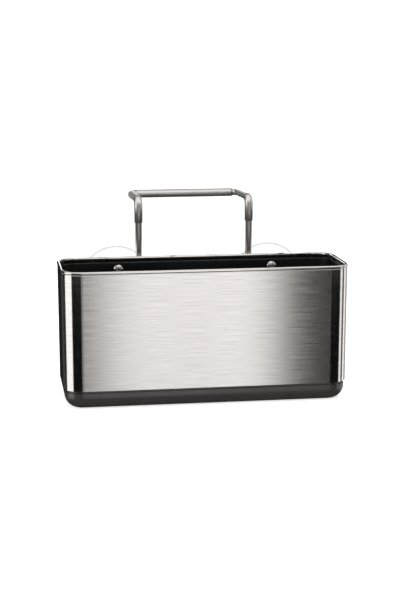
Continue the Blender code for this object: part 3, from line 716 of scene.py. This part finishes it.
SCREW_RADIUS = 0.002
HEAD_RADIUS = 0.0043
HEAD_HEIGHT = 0.0025
HEAD_RIM = 0.0004             # straight side under the dome
CROSS_REACH = 0.0023
CROSS_WIDTH = 0.0009
CROSS_DEPTH = 0.0014
TUMBLE_DENT = 0.0008
SCREW_SIDES = 40
DOME_STEPS = 12


def screw_tree():
    """Node tree that puts a copy of a screw on each point."""
    tree, given, result = group_with("screw_on_each_point",
                                     {"Screw": "Object", "Material": "Material"})
    screw = add_node(tree, "GeometryNodeObjectInfo", {}, {"Object": given["Screw"]})
    placed = add_node(tree, "GeometryNodeInstanceOnPoints", {},
                      {"Points": given["Geometry"], "Instance": screw.outputs["Geometry"]})
    real = add_node(tree, "GeometryNodeRealizeInstances", {},
                    {"Geometry": placed.outputs["Instances"]})
    finished = add_node(tree, "GeometryNodeSetMaterial", {},
                        {"Geometry": real.outputs["Geometry"], "Material": given["Material"]})
    tree.links.new(finished.outputs["Geometry"], result["Geometry"])
    return tree


def bright_screw_steel():
    """Tumbled stainless: bright, with small dents and dull spots left by the other screws."""
    material, tree, shader = finish("tumbled_stainless_screw", "#cfcdcb", 0.22, metallic=1.0)
    follow(tree, shader, mottle(tree, TUMBLE_DENT, 2.0), gloss=(0.17, 0.3), relief=(0.15, 0.00004))
    return material


screw_steel = bright_screw_steel()
toward_front = Matrix.Rotation(pi / 2, 4, "X")
level_heads = {}
for (level, side), (x, low_y, high_y, z) in screws.items():
    level_heads.setdefault(level, []).append(
        (x, low_y + HEAD_HEIGHT, z, high_y - low_y - HEAD_HEIGHT))
for level, heads in level_heads.items():
    length = heads[0][3]
    section = [(0, -length), (SCREW_RADIUS / 2, -length), (SCREW_RADIUS, SCREW_RADIUS - length),
               (SCREW_RADIUS, 0), (HEAD_RADIUS, 0)]
    section += [(HEAD_RADIUS * cos(angle), HEAD_RIM + (HEAD_HEIGHT - HEAD_RIM) * sin(angle))
                for angle in (pi / 2 * step / DOME_STEPS for step in range(DOME_STEPS))]
    section.append((0, HEAD_HEIGHT))
    pattern = piece_from("screw_pattern", turned(section, SCREW_SIDES, toward_front), screw_steel)
    for half_u, half_v in ((CROSS_REACH, CROSS_WIDTH / 2), (CROSS_WIDTH / 2, CROSS_REACH)):
        stroke = [(-half_u, -half_v), (half_u, -half_v), (half_u, half_v), (-half_u, half_v)]
        shape_with(pattern, "DIFFERENCE", slab(stroke, HEAD_HEIGHT - CROSS_DEPTH,
                                               HEAD_HEIGHT + CUT_REACH, toward_front))
    settle(pattern)
    pattern.hide_render = True
    points = bpy.data.meshes.new("screw_points")
    points.from_pydata([head[:3] for head in heads], [], [])
    pair = piece_from(level + "_pan_head_screws", points, screw_steel)
    grow(pair, screw_tree(), {"Screw": pattern, "Material": screw_steel})
    bpy.data.objects.remove(pattern)
    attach(pair, "caddy")
    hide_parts(level + "_bracket_screw_left", level + "_bracket_screw_right")


# Suction cups
# Clear soft vinyl, moulded in one piece: a thin dome with a flat lip, a hub, and a knob on a neck
# that slides into the bracket. It is glossy, but for the lip, which is frosted.

CUP_HEIGHT = 0.011
CUP_DOME_RISE = 0.0058
CUP_LIP_FLAT = 0.0016
CUP_LIP_EDGE = 0.0009
CUP_SKIN = 0.0013
CUP_DOME_POWER = 1.7
HUB_RADIUS = 0.0085
HUB_TIP_RADIUS = 0.007
CUP_SIDES = 96
CUP_STEPS = 24
LIP_EDGE_STEPS = 5
KNOB_STEPS = 5
KNOB_NECK_STEPS = 4
MOULD_RIPPLE = 0.006


def clear_vinyl(name, code, roughness):
    """Clear plasticised vinyl: almost water white, with a slight haze and moulding ripples."""
    material, tree, shader = finish(name, code, roughness, ior=1.5, transmission_weight=1.0)
    follow(tree, shader, mottle(tree, MOULD_RIPPLE, 1.0),
           gloss=(roughness - 0.02, roughness + 0.04), relief=(0.15, 0.0001))
    return material


def cup_section(cup_radius):
    """Half section of a cup, from the middle of its hollow to the end of its knob."""
    def dome(radius):
        fall = (radius / cup_radius) ** CUP_DOME_POWER
        return CUP_LIP_EDGE + (CUP_DOME_RISE - CUP_LIP_EDGE) * (1 - fall)

    inner_lip = cup_radius - CUP_LIP_FLAT
    section = [(radius, max(dome(radius) - CUP_SKIN, 0.0))
               for radius in (inner_lip * step / CUP_STEPS for step in range(CUP_STEPS))]
    section += [(inner_lip, 0.0), (cup_radius, 0.0)]
    section += circle(cup_radius - CUP_LIP_EDGE / 2, CUP_LIP_EDGE / 2, CUP_LIP_EDGE / 2,
                      -45, 60, LIP_EDGE_STEPS)
    shoulder = cup_radius - CUP_LIP_EDGE
    section += [(radius, dome(radius))
                for radius in (shoulder - (shoulder - HUB_RADIUS) * step / CUP_STEPS
                               for step in range(CUP_STEPS + 1))]
    knob_low = CUP_HEIGHT + 2 * GAP + KEYPLATE
    knob_high = knob_low + KNOB_DEPTH
    knob_round = KNOB_DEPTH / 4
    section += circle(HUB_TIP_RADIUS - knob_round, CUP_HEIGHT - knob_round, knob_round,
                      0, 90, KNOB_STEPS)
    section += [(NECK_RADIUS, CUP_HEIGHT), (NECK_RADIUS, knob_low)]
    section += circle(KNOB_RADIUS - knob_round, knob_low + knob_round, knob_round,
                      -90, 0, KNOB_NECK_STEPS)
    section += circle(KNOB_RADIUS - knob_round, knob_high - knob_round, knob_round,
                      0, 90, KNOB_STEPS)
    section.append((0.0, knob_high))
    return section


vinyl = clear_vinyl("clear_soft_vinyl", "#f2f4f4", 0.06)
frosted_vinyl = clear_vinyl("frosted_vinyl_lip", "#c4c4c4", 0.3)
for side in SIDES:
    low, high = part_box("suction_cup_" + side)
    centre_x, centre_z = (low.x + high.x) / 2, (low.z + high.z) / 2
    cup_radius = (high.x - low.x) / 2
    place = Matrix.Translation((centre_x, high.y, centre_z)) @ toward_front
    data = turned(cup_section(cup_radius), CUP_SIDES, place)
    for face in data.polygons:
        reach = hypot(face.center.x - centre_x, face.center.z - centre_z)
        face.material_index = int(reach > cup_radius - CUP_LIP_FLAT)
    cup = piece_from("clear_cup_" + side, data, vinyl, frosted_vinyl)
    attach(cup, "caddy")
    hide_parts("suction_cup_" + side)


# Hoop tubes
# Drawn stainless tube, 7 mm across, bent cold at each corner and left with its satin drawn skin.
# The left tube ends square at the seam, and the right one is reduced there and plugs into it.

TUBE_RADIUS = 0.0035
TUBE_BEND = 0.0065
ROD_BEND = 0.0048
ARM_DROP = 0.0017
PLUG_LENGTH = 0.015
SLEEVE_DEPTH = 0.0115
TUBE_END_EASE = 0.0002
EASE_BREAK = 0.3              # of the ease's length: the corner in its outline
SEAM_LINE = 0.0009            # painted shade on the left tube's end at the seam, and the length of its ease there
TUBE_SIDES = 64
BEND_STEPS = 24
DRAW_LINE_LENGTH = 0.03
DRAW_LINES_ROUND = 60         # round the tube

left_low, left_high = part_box("hoop_left")
sleeve_end = left_low.z
bar_y = left_high.y - TUBE_RADIUS
arm_slope = atan2(ARM_DROP, bar_y - rods["left"][1])
crest_drop = TUBE_BEND * (tan((pi / 2 - arm_slope) / 2) - 1)    # negative: bend below its corner
arm_z = left_high.z - TUBE_RADIUS - crest_drop
bar_z = arm_z - ARM_DROP
seam_x = left_high.x


def tube_tree():
    """Node tree that bends a polyline's corners and sweeps a round section along it."""
    tree, given, result = group_with("bent_tube", {"Sides": "Int", "Bend Steps": "Int",
                                                   "Material": "Material"})

    stored = {name: add_node(tree, "GeometryNodeInputNamedAttribute",
                             {"data_type": "FLOAT", "Name": name}, {}).outputs["Attribute"]
              for name in ("size", "bend", "along", "round")}

    def with_places(curve, name, measure):
        place = add_node(tree, "GeometryNodeSplineParameter", {}, {})
        kept = add_node(tree, "GeometryNodeStoreNamedAttribute",
                        {"data_type": "FLOAT", "Name": name},
                        {"Geometry": curve.outputs["Curve"], "Value": place.outputs[measure]})
        return kept.outputs["Geometry"]

    route = add_node(tree, "GeometryNodeMeshToCurve", {}, {"Mesh": given["Geometry"]})
    bent = add_node(tree, "GeometryNodeFilletCurve", {"mode": "POLY", "Limit Radius": True},
                    {"Curve": route.outputs["Curve"], "Count": given["Bend Steps"],
                     "Radius": stored["bend"]})
    section = add_node(tree, "GeometryNodeCurvePrimitiveCircle", {"Radius": 1.0},
                       {"Resolution": given["Sides"]})
    swept = add_node(tree, "GeometryNodeCurveToMesh", {"Fill Caps": True},
                     {"Curve": with_places(bent, "along", "Length"),
                      "Profile Curve": with_places(section, "round", "Factor"),
                      "Scale": stored["size"]})
    lengths = add_node(tree, "ShaderNodeCombineXYZ", {},
                       {"X": stored["along"], "Y": stored["round"]})
    mapped = add_node(tree, "GeometryNodeStoreNamedAttribute",
                      {"data_type": "FLOAT2", "domain": "CORNER", "Name": "lengths"},
                      {"Geometry": swept.outputs["Mesh"], "Value": lengths.outputs["Vector"]})
    finished = add_node(tree, "GeometryNodeSetMaterial", {},
                        {"Geometry": mapped.outputs["Geometry"], "Material": given["Material"]})
    tree.links.new(finished.outputs["Geometry"], result["Geometry"])
    return tree


def route_mesh(stations):
    """Polyline through (point, bar radius, bend radius) stations."""
    data = bpy.data.meshes.new("route")
    data.from_pydata([point for point, _, _ in stations],
                     [(index, index + 1) for index in range(len(stations) - 1)], [])
    for name, column in (("size", 1), ("bend", 2)):
        layer = data.attributes.new(name, "FLOAT", "POINT")
        layer.data.foreach_set("value", [station[column] for station in stations])
    return data


def end_ease(point, inward, radius, length=TUBE_END_EASE):
    """Stations that round off a bar's end over a short length."""
    place, step = Vector(point), Vector(inward).normalized() * length
    return [(place, radius - TUBE_END_EASE, 0.0),
            (place + step * EASE_BREAK, radius - TUBE_END_EASE * EASE_BREAK, 0.0),
            (place + step, radius, 0.0)]


# Drawn tube is duller and a little warmer than polished steel, with fine lines along it.
tube_steel = lined_steel("drawn_stainless_tube", "#cecac7", 0.33, tones=("#cbc7c4", "#d1cecb"),
                         stretch=(1 / DRAW_LINE_LENGTH, DRAW_LINES_ROUND, 1.0),
                         relief=(0.05, 0.00001), gloss=(0.3, 0.36))[0]
bend_tree = tube_tree()


def make_tube(name, stations, bores, node):
    """One tube of the hoop, bent, swept and bored at its ends."""
    piece = piece_from(name, route_mesh(stations), tube_steel)
    grow(piece, bend_tree, {"Sides": TUBE_SIDES, "Bend Steps": BEND_STEPS, "Material": tube_steel})
    for start, end in bores:
        shape_with(piece, "DIFFERENCE", round_bar(start, end, bore_radius, TUBE_SIDES))
    settle(piece)
    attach(piece, "hoop")
    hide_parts(node)
    return piece


rod_x, rod_y, _, _ = rods["right"]
up = Vector((0, 0, 1))
left_foot = Vector((-rod_x, rod_y, sleeve_end))
right_foot = Vector((rod_x, rod_y, sleeve_end))
seam = Vector((seam_x, bar_y, bar_z))
plug_end = seam - Vector((PLUG_LENGTH, 0, 0))
rod_top = Vector((0, 0, SLEEVE_DEPTH + GAP))
sleeve_bottom = Vector((0, 0, -CUT_REACH))
left_route = end_ease(left_foot, up, TUBE_RADIUS)
left_route += [(Vector((-rod_x, rod_y, arm_z)), TUBE_RADIUS, TUBE_BEND),
               (Vector((-rod_x, bar_y, bar_z)), TUBE_RADIUS, TUBE_BEND)]
left_route += end_ease(seam, (-1, 0, 0), TUBE_RADIUS, SEAM_LINE)[::-1]
left_bores = [(left_foot + sleeve_bottom, left_foot + rod_top),
              (seam + Vector((CUT_REACH, 0, 0)), plug_end - Vector((GAP, 0, 0)))]
left_tube = make_tube("hoop_tube_left", left_route, left_bores, "hoop_left")
# The left tube's end at the seam gets a dark metal: painted shade of the gap where the right tube
# plugs in.
left_tube.data.materials.append(finish("painted_seam_shade", "#4c4845", 0.45, metallic=1.0)[0])
for face in left_tube.data.polygons:
    face.material_index = int(face.center.x > seam_x - SEAM_LINE)
near_bend = Vector((rod_x, rod_y, arm_z))
arm_way = (Vector((rod_x, bar_y, bar_z)) - near_bend).normalized()
shoulder = near_bend + arm_way * (TUBE_BEND * tan(up.angle(arm_way) / 2) + TUBE_END_EASE)
right_route = end_ease(right_foot, up, TUBE_RADIUS)
right_route += [(near_bend, TUBE_RADIUS, TUBE_BEND)]
right_route += [(shoulder, TUBE_RADIUS, 0.0), (shoulder + arm_way * TUBE_END_EASE, rod_radius, 0.0)]
right_route += [(Vector((rod_x, bar_y, bar_z)), rod_radius, ROD_BEND)]
right_route += end_ease(plug_end, (1, 0, 0), rod_radius)[::-1]
make_tube("hoop_tube_right", right_route,
          [(right_foot + sleeve_bottom, right_foot + rod_top)], "hoop_right")


# Hoop rods and stops
# Drawn 5.6 mm stainless rod pressed into each sleeve, its lower end rounded. A push-on ring near
# the end keeps the hoop from pulling out of its guides.

ROD_END_ROUND = 0.0012
ROD_END_STEPS = 6
STOP_EASE = 0.0002

for side in SIDES:
    rod_x, rod_y, rod_low, rod_high = rods[side]
    place = Matrix.Translation((rod_x, rod_y, 0))
    section = [(0.0, rod_low), *circle(rod_radius - ROD_END_ROUND, rod_low + ROD_END_ROUND,
                                       ROD_END_ROUND, -90, 0, ROD_END_STEPS)]
    section += [(rod_radius, rod_high - TUBE_END_EASE), (rod_radius - TUBE_END_EASE, rod_high),
                (0.0, rod_high)]
    rod = piece_from("drawn_rod_" + side, turned(section, TUBE_SIDES, place), tube_steel)
    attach(rod, "hoop")
    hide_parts("hoop_rod_" + side)
    low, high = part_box("rod_stop_" + side)
    stop_radius = (high.x - low.x) / 2
    section = [(bore_radius, low.z), (stop_radius, low.z),
               (stop_radius, high.z), (bore_radius, high.z)]
    stop = piece_from("stop_ring_" + side, turned(eased(section, STOP_EASE), TUBE_SIDES, place),
                      screw_steel)
    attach(stop, "hoop")
    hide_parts("rod_stop_" + side)


# Studio
# A pale floor that sinks with the drain tray, a white room, two soft lamps, and a tall curved tent
# that only the metal and the clear cups see. Its white parts make their bright bands. The finer
# bands come from flags, cards and a canopy close to the object, which only the metal sees.

FLOOR_HALF = 6.0
FLOOR_DROP = 0.0002           # clear of the tray's resting face
FLOOR_GLOW = 0.72             # makes the floor as white as the room behind it
AMBIENT = 0.4                 # the room's light on the object
TENT_RADIUS = 4.0
TENT_LOW = -1.9
TENT_HIGH = 3.3
TENT_STEP = 0.25              # degrees
GROUND_DEPTH = 0.5
GROUND_RADIUS = 1.07
GROUND_SIDES = 64
GROUND_BRIGHTNESS = 0.07
TENT = (                      # bearing from the front, in degrees to the right, and brightness
    (-178.5, 0.01), (-160.0, 0.02), (-150.0, 0.07), (-130.0, 0.07), (-118.0, 0.02), (-105.5, 0.02),
    (-105.0, 1.6), (-61.5, 1.6),
    (-61.0, 0.3), (2.6, 0.31), (3.1, 0.66), (4.4, 1.33), (6.0, 1.4), (8.6, 1.33), (10.4, 1.45),
    (11.6, 1.6), (12.4, 1.15), (13.0, 0.4), (13.4, 0.04), (13.8, 0.005), (20.0, 0.005),
    (22.0, 0.3), (68.5, 0.3),
    (69.0, 1.3), (85.0, 1.3),
    (85.5, 0.1), (101.5, 0.1),
    (102.0, 1.5), (116.0, 1.5),
    (117.0, 0.45), (150.0, 0.45),
    (151.0, 1.6), (181.0, 1.6),
)
FLAG_STEP = 2.5               # degrees
# Each kind of flag: the bend that it stands before, its reach from it, its heights and brightness.
CORNER_FLAG = (CORNER_RADIUS, 0.05, -0.1, 0.112, 0.005)
RISER_FLAG = (TUBE_RADIUS, 0.03, 0.12, 0.148, 0.1)
ARM_FLAG = (TUBE_RADIUS, 0.06, 0.1, 0.175, 0.35)
corner_x = half_width - CORNER_RADIUS
corner_y = CORNER_RADIUS - half_depth
riser_x, riser_y, _, _ = rods["right"]
FLAGS = (                     # centre in plan, kind, and the bearings that the flag covers
    (-corner_x, corner_y, CORNER_FLAG, -61.0, -6.0), (corner_x, corner_y, CORNER_FLAG, 15.5, 69.0),
    (-riser_x, riser_y, RISER_FLAG, -115.0, -50.0), (-riser_x, riser_y, RISER_FLAG, 62.0, 150.0),
    (riser_x, riser_y, RISER_FLAG, -115.0, -50.0), (riser_x, riser_y, RISER_FLAG, 62.0, 150.0),
    (-riser_x, bar_y, ARM_FLAG, -180.0, -140.0),
)
CANOPY = (-0.15, 0.15, -0.12, 0.06, 0.3)    # x and y limits and height of the card over the hoop
CANOPY_BRIGHTNESS = 1.4
BACK_CARDS = (                # two ends of each card behind the body: x, y, heights and brightness
    ((-0.15, 0.24, 0.2, 0.45, 0.25), (0.15, 0.24, 0.2, 0.45, 0.25)),
    ((-0.035, 0.24, 0.115, 0.16, 0.05), (0.15, 0.24, 0.115, 0.16, 0.05)),
    ((0.07, 0.07, 0.1, 0.15, 1.6), (0.104, 0.07, 0.1, 0.15, 1.6)),
    ((0.104, 0.07, 0.112, 0.17, 0.005), (0.15, 0.07, 0.112, 0.17, 0.005)),
)


def tent_glow():
    """Even glow whose strength is stored on each point of the tent."""
    material = bpy.data.materials.new("reflection_tent")
    material.use_nodes = True
    tree = material.node_tree
    tree.nodes.clear()
    stored = add_node(tree, "ShaderNodeAttribute", {"attribute_name": "brightness"}, {})
    light = add_node(tree, "ShaderNodeEmission", {}, {"Strength": stored.outputs["Fac"]})
    add_node(tree, "ShaderNodeOutputMaterial", {}, {"Surface": light.outputs["Emission"]})
    return material


def glowing_wall(mesh, stations):
    """Upright strip through (x, y, low, high, brightness) stations."""
    brightness = mesh.verts.layers.float["brightness"]
    foot = top = None
    for x, y, low, high, glow in stations:
        before = (foot, top)
        foot, top = [mesh.verts.new((x, y, z)) for z in (low, high)]
        foot[brightness] = top[brightness] = glow
        if before[0]:
            mesh.faces.new((before[0], foot, top, before[1]))


def bearings(start, end, step):
    """Even bearings from start to end in radians, each with its share of the way."""
    count = max(1, round((end - start) / step))
    return [(radians(start + (end - start) * place / count), place / count)
            for place in range(count + 1)]


def reflected_piece(name, mesh):
    """Piece of the studio that only reflections see."""
    data = bpy.data.meshes.new(name)
    mesh.to_mesh(data)
    mesh.free()
    piece = piece_from(name, data, glow)
    piece.visible_camera = False
    piece.visible_diffuse = False
    piece.visible_volume_scatter = False
    piece.visible_shadow = False
    return piece


glow = tent_glow()
mesh = bmesh.new()
brightness = mesh.verts.layers.float.new("brightness")
glowing_wall(mesh, [(TENT_RADIUS * sin(bearing), -TENT_RADIUS * cos(bearing), TENT_LOW, TENT_HIGH,
                     first + (second - first) * share)
                    for (start, first), (end, second) in zip(TENT, TENT[1:])
                    for bearing, share in bearings(start, end, TENT_STEP)[:-1]])
ground = bmesh.ops.create_circle(mesh, cap_ends=True, segments=GROUND_SIDES, radius=GROUND_RADIUS,
                                 matrix=Matrix.Translation((0, 0, -GROUND_DEPTH)))
for vert in ground["verts"]:
    vert[brightness] = GROUND_BRIGHTNESS
reflected_piece("reflection_tent", mesh)

mesh = bmesh.new()
mesh.verts.layers.float.new("brightness")
for x, y, (bend, reach, low, high, dimness), start, end in FLAGS:
    glowing_wall(mesh, [(x + bend * sin(bearing / 2) + reach * sin(bearing),
                         y - bend * cos(bearing / 2) - reach * cos(bearing), low, high, dimness)
                        for bearing, _ in bearings(start, end, FLAG_STEP)])
for card in BACK_CARDS:
    glowing_wall(mesh, card)
brightness = mesh.verts.layers.float["brightness"]
left_x, right_x, front_y, back_y, canopy_z = CANOPY
canopy = [mesh.verts.new((x, y, canopy_z)) for x, y in
          ((left_x, front_y), (right_x, front_y), (right_x, back_y), (left_x, back_y))]
for vert in canopy:
    vert[brightness] = CANOPY_BRIGHTNESS
mesh.faces.new(canopy)
reflected_piece("flags_and_canopy", mesh).visible_transmission = False


def seen_directly(tree):
    """Output that is 1 for camera, glossy and transmission rays, and 0 for light on matt faces."""
    path = add_node(tree, "ShaderNodeLightPath", {}, {})
    either = add_node(tree, "ShaderNodeMath", {"operation": "MAXIMUM"},
                      {0: path.outputs["Is Camera Ray"], 1: path.outputs["Is Glossy Ray"]})
    any_of = add_node(tree, "ShaderNodeMath", {"operation": "MAXIMUM"},
                      {0: either.outputs["Value"], 1: path.outputs["Is Transmission Ray"]})
    return any_of.outputs["Value"]


def pale_floor():
    """Matt white floor that takes the object's soft shadow and meets the room without an edge."""
    material = bpy.data.materials.new("matt_white_floor")
    material.use_nodes = True
    tree = material.node_tree
    tree.nodes.clear()
    matt = add_node(tree, "ShaderNodeBsdfDiffuse", {"Color": linear("#e6e6e6")}, {})
    lift = add_node(tree, "ShaderNodeEmission", {}, {"Strength": seen_directly(tree)})
    lift.inputs["Color"].default_value = (FLOOR_GLOW, FLOOR_GLOW, FLOOR_GLOW, 1.0)
    both = add_node(tree, "ShaderNodeAddShader", {},
                    {0: matt.outputs["BSDF"], 1: lift.outputs["Emission"]})
    add_node(tree, "ShaderNodeOutputMaterial", {}, {"Surface": both.outputs["Shader"]})
    return material


def sinking_floor():
    """Node tree that sinks the floor with the drain tray, so that a lowered tray still shows."""
    tree, given, result = group_with("sinking_floor", {"Tray": "Object"})
    tray = add_node(tree, "GeometryNodeObjectInfo", {}, {"Object": given["Tray"]})
    axes = add_node(tree, "ShaderNodeSeparateXYZ", {}, {"Vector": tray.outputs["Location"]})
    drop = add_node(tree, "ShaderNodeMath", {"operation": "MINIMUM", 1: 0.0},
                    {0: axes.outputs["Z"]})
    shift = add_node(tree, "ShaderNodeCombineXYZ", {}, {"Z": drop.outputs["Value"]})
    sunk = add_node(tree, "GeometryNodeTransform", {},
                    {"Geometry": given["Geometry"], "Translation": shift.outputs["Vector"]})
    tree.links.new(sunk.outputs["Geometry"], result["Geometry"])
    return tree


mesh = bmesh.new()
bmesh.ops.create_grid(mesh, x_segments=1, y_segments=1, size=FLOOR_HALF,
                      matrix=Matrix.Translation((0, 0, -FLOOR_DROP)))
data = bpy.data.meshes.new("floor")
mesh.to_mesh(data)
mesh.free()
floor = piece_from("floor", data, pale_floor())
floor.visible_glossy = False
sink = floor.modifiers.new("sinking_floor", "NODES")
sink.node_group = sinking_floor()
sink[sink.node_group.interface.items_tree["Tray"].identifier] = charcoal_tray

world = bpy.data.worlds.new("white_room")
world.use_nodes = True
bpy.context.scene.world = world
tree = world.node_tree
tree.nodes.clear()
ambient, shown = [add_node(tree, "ShaderNodeBackground",
                           {"Color": linear("#ffffff"), "Strength": strength}, {})
                  for strength in (AMBIENT, 1.0)]
mixed = add_node(tree, "ShaderNodeMixShader", {},
                 {0: seen_directly(tree), 1: ambient.outputs["Background"],
                  2: shown.outputs["Background"]})
add_node(tree, "ShaderNodeOutputWorld", {}, {"Surface": mixed.outputs["Shader"]})

LAMPS = (                     # place, aim, size and watts
    ("overhead_softbox", (0.1, -0.5, 1.6), (0.0, 0.0, 0.06), 1.2, 22.0),
    ("front_softbox", (-0.9, -1.5, 0.9), (0.0, 0.0, 0.08), 0.9, 8.0),
)
for name, place, aim, size, watts in LAMPS:
    lamp = bpy.data.lights.new(name, "AREA")
    lamp.shape = "SQUARE"
    lamp.size = size
    lamp.energy = watts
    holder = bpy.data.objects.new(name, lamp)
    holder.location = place
    holder.rotation_euler = (Vector(aim) - Vector(place)).to_track_quat("-Z", "Y").to_euler()
    holder.visible_glossy = False
    holder.visible_camera = False
    bpy.context.collection.objects.link(holder)


# Camera
# The photograph's view: left of the middle, a little above the rim, with a long lens.

CAMERA_PLACE = (-0.179955, -1.16653, 0.306907)
CAMERA_YAW = radians(8.72)    # towards +X
CAMERA_PITCH = radians(10.847)
LENS = 86.57                  # mm, with the sensor's 36 mm on the long side
NEAR_LIMIT = 0.05

lens = bpy.data.cameras.new("camera")
lens.lens = LENS
lens.clip_start = NEAR_LIMIT
camera = bpy.data.objects.new("camera", lens)
camera.location = CAMERA_PLACE
look = Vector((sin(CAMERA_YAW) * cos(CAMERA_PITCH), cos(CAMERA_YAW) * cos(CAMERA_PITCH),
               -sin(CAMERA_PITCH)))
camera.rotation_euler = look.to_track_quat("-Z", "Y").to_euler()
bpy.context.collection.objects.link(camera)
bpy.context.scene.camera = camera
bpy.context.scene.view_settings.view_transform = "Standard"
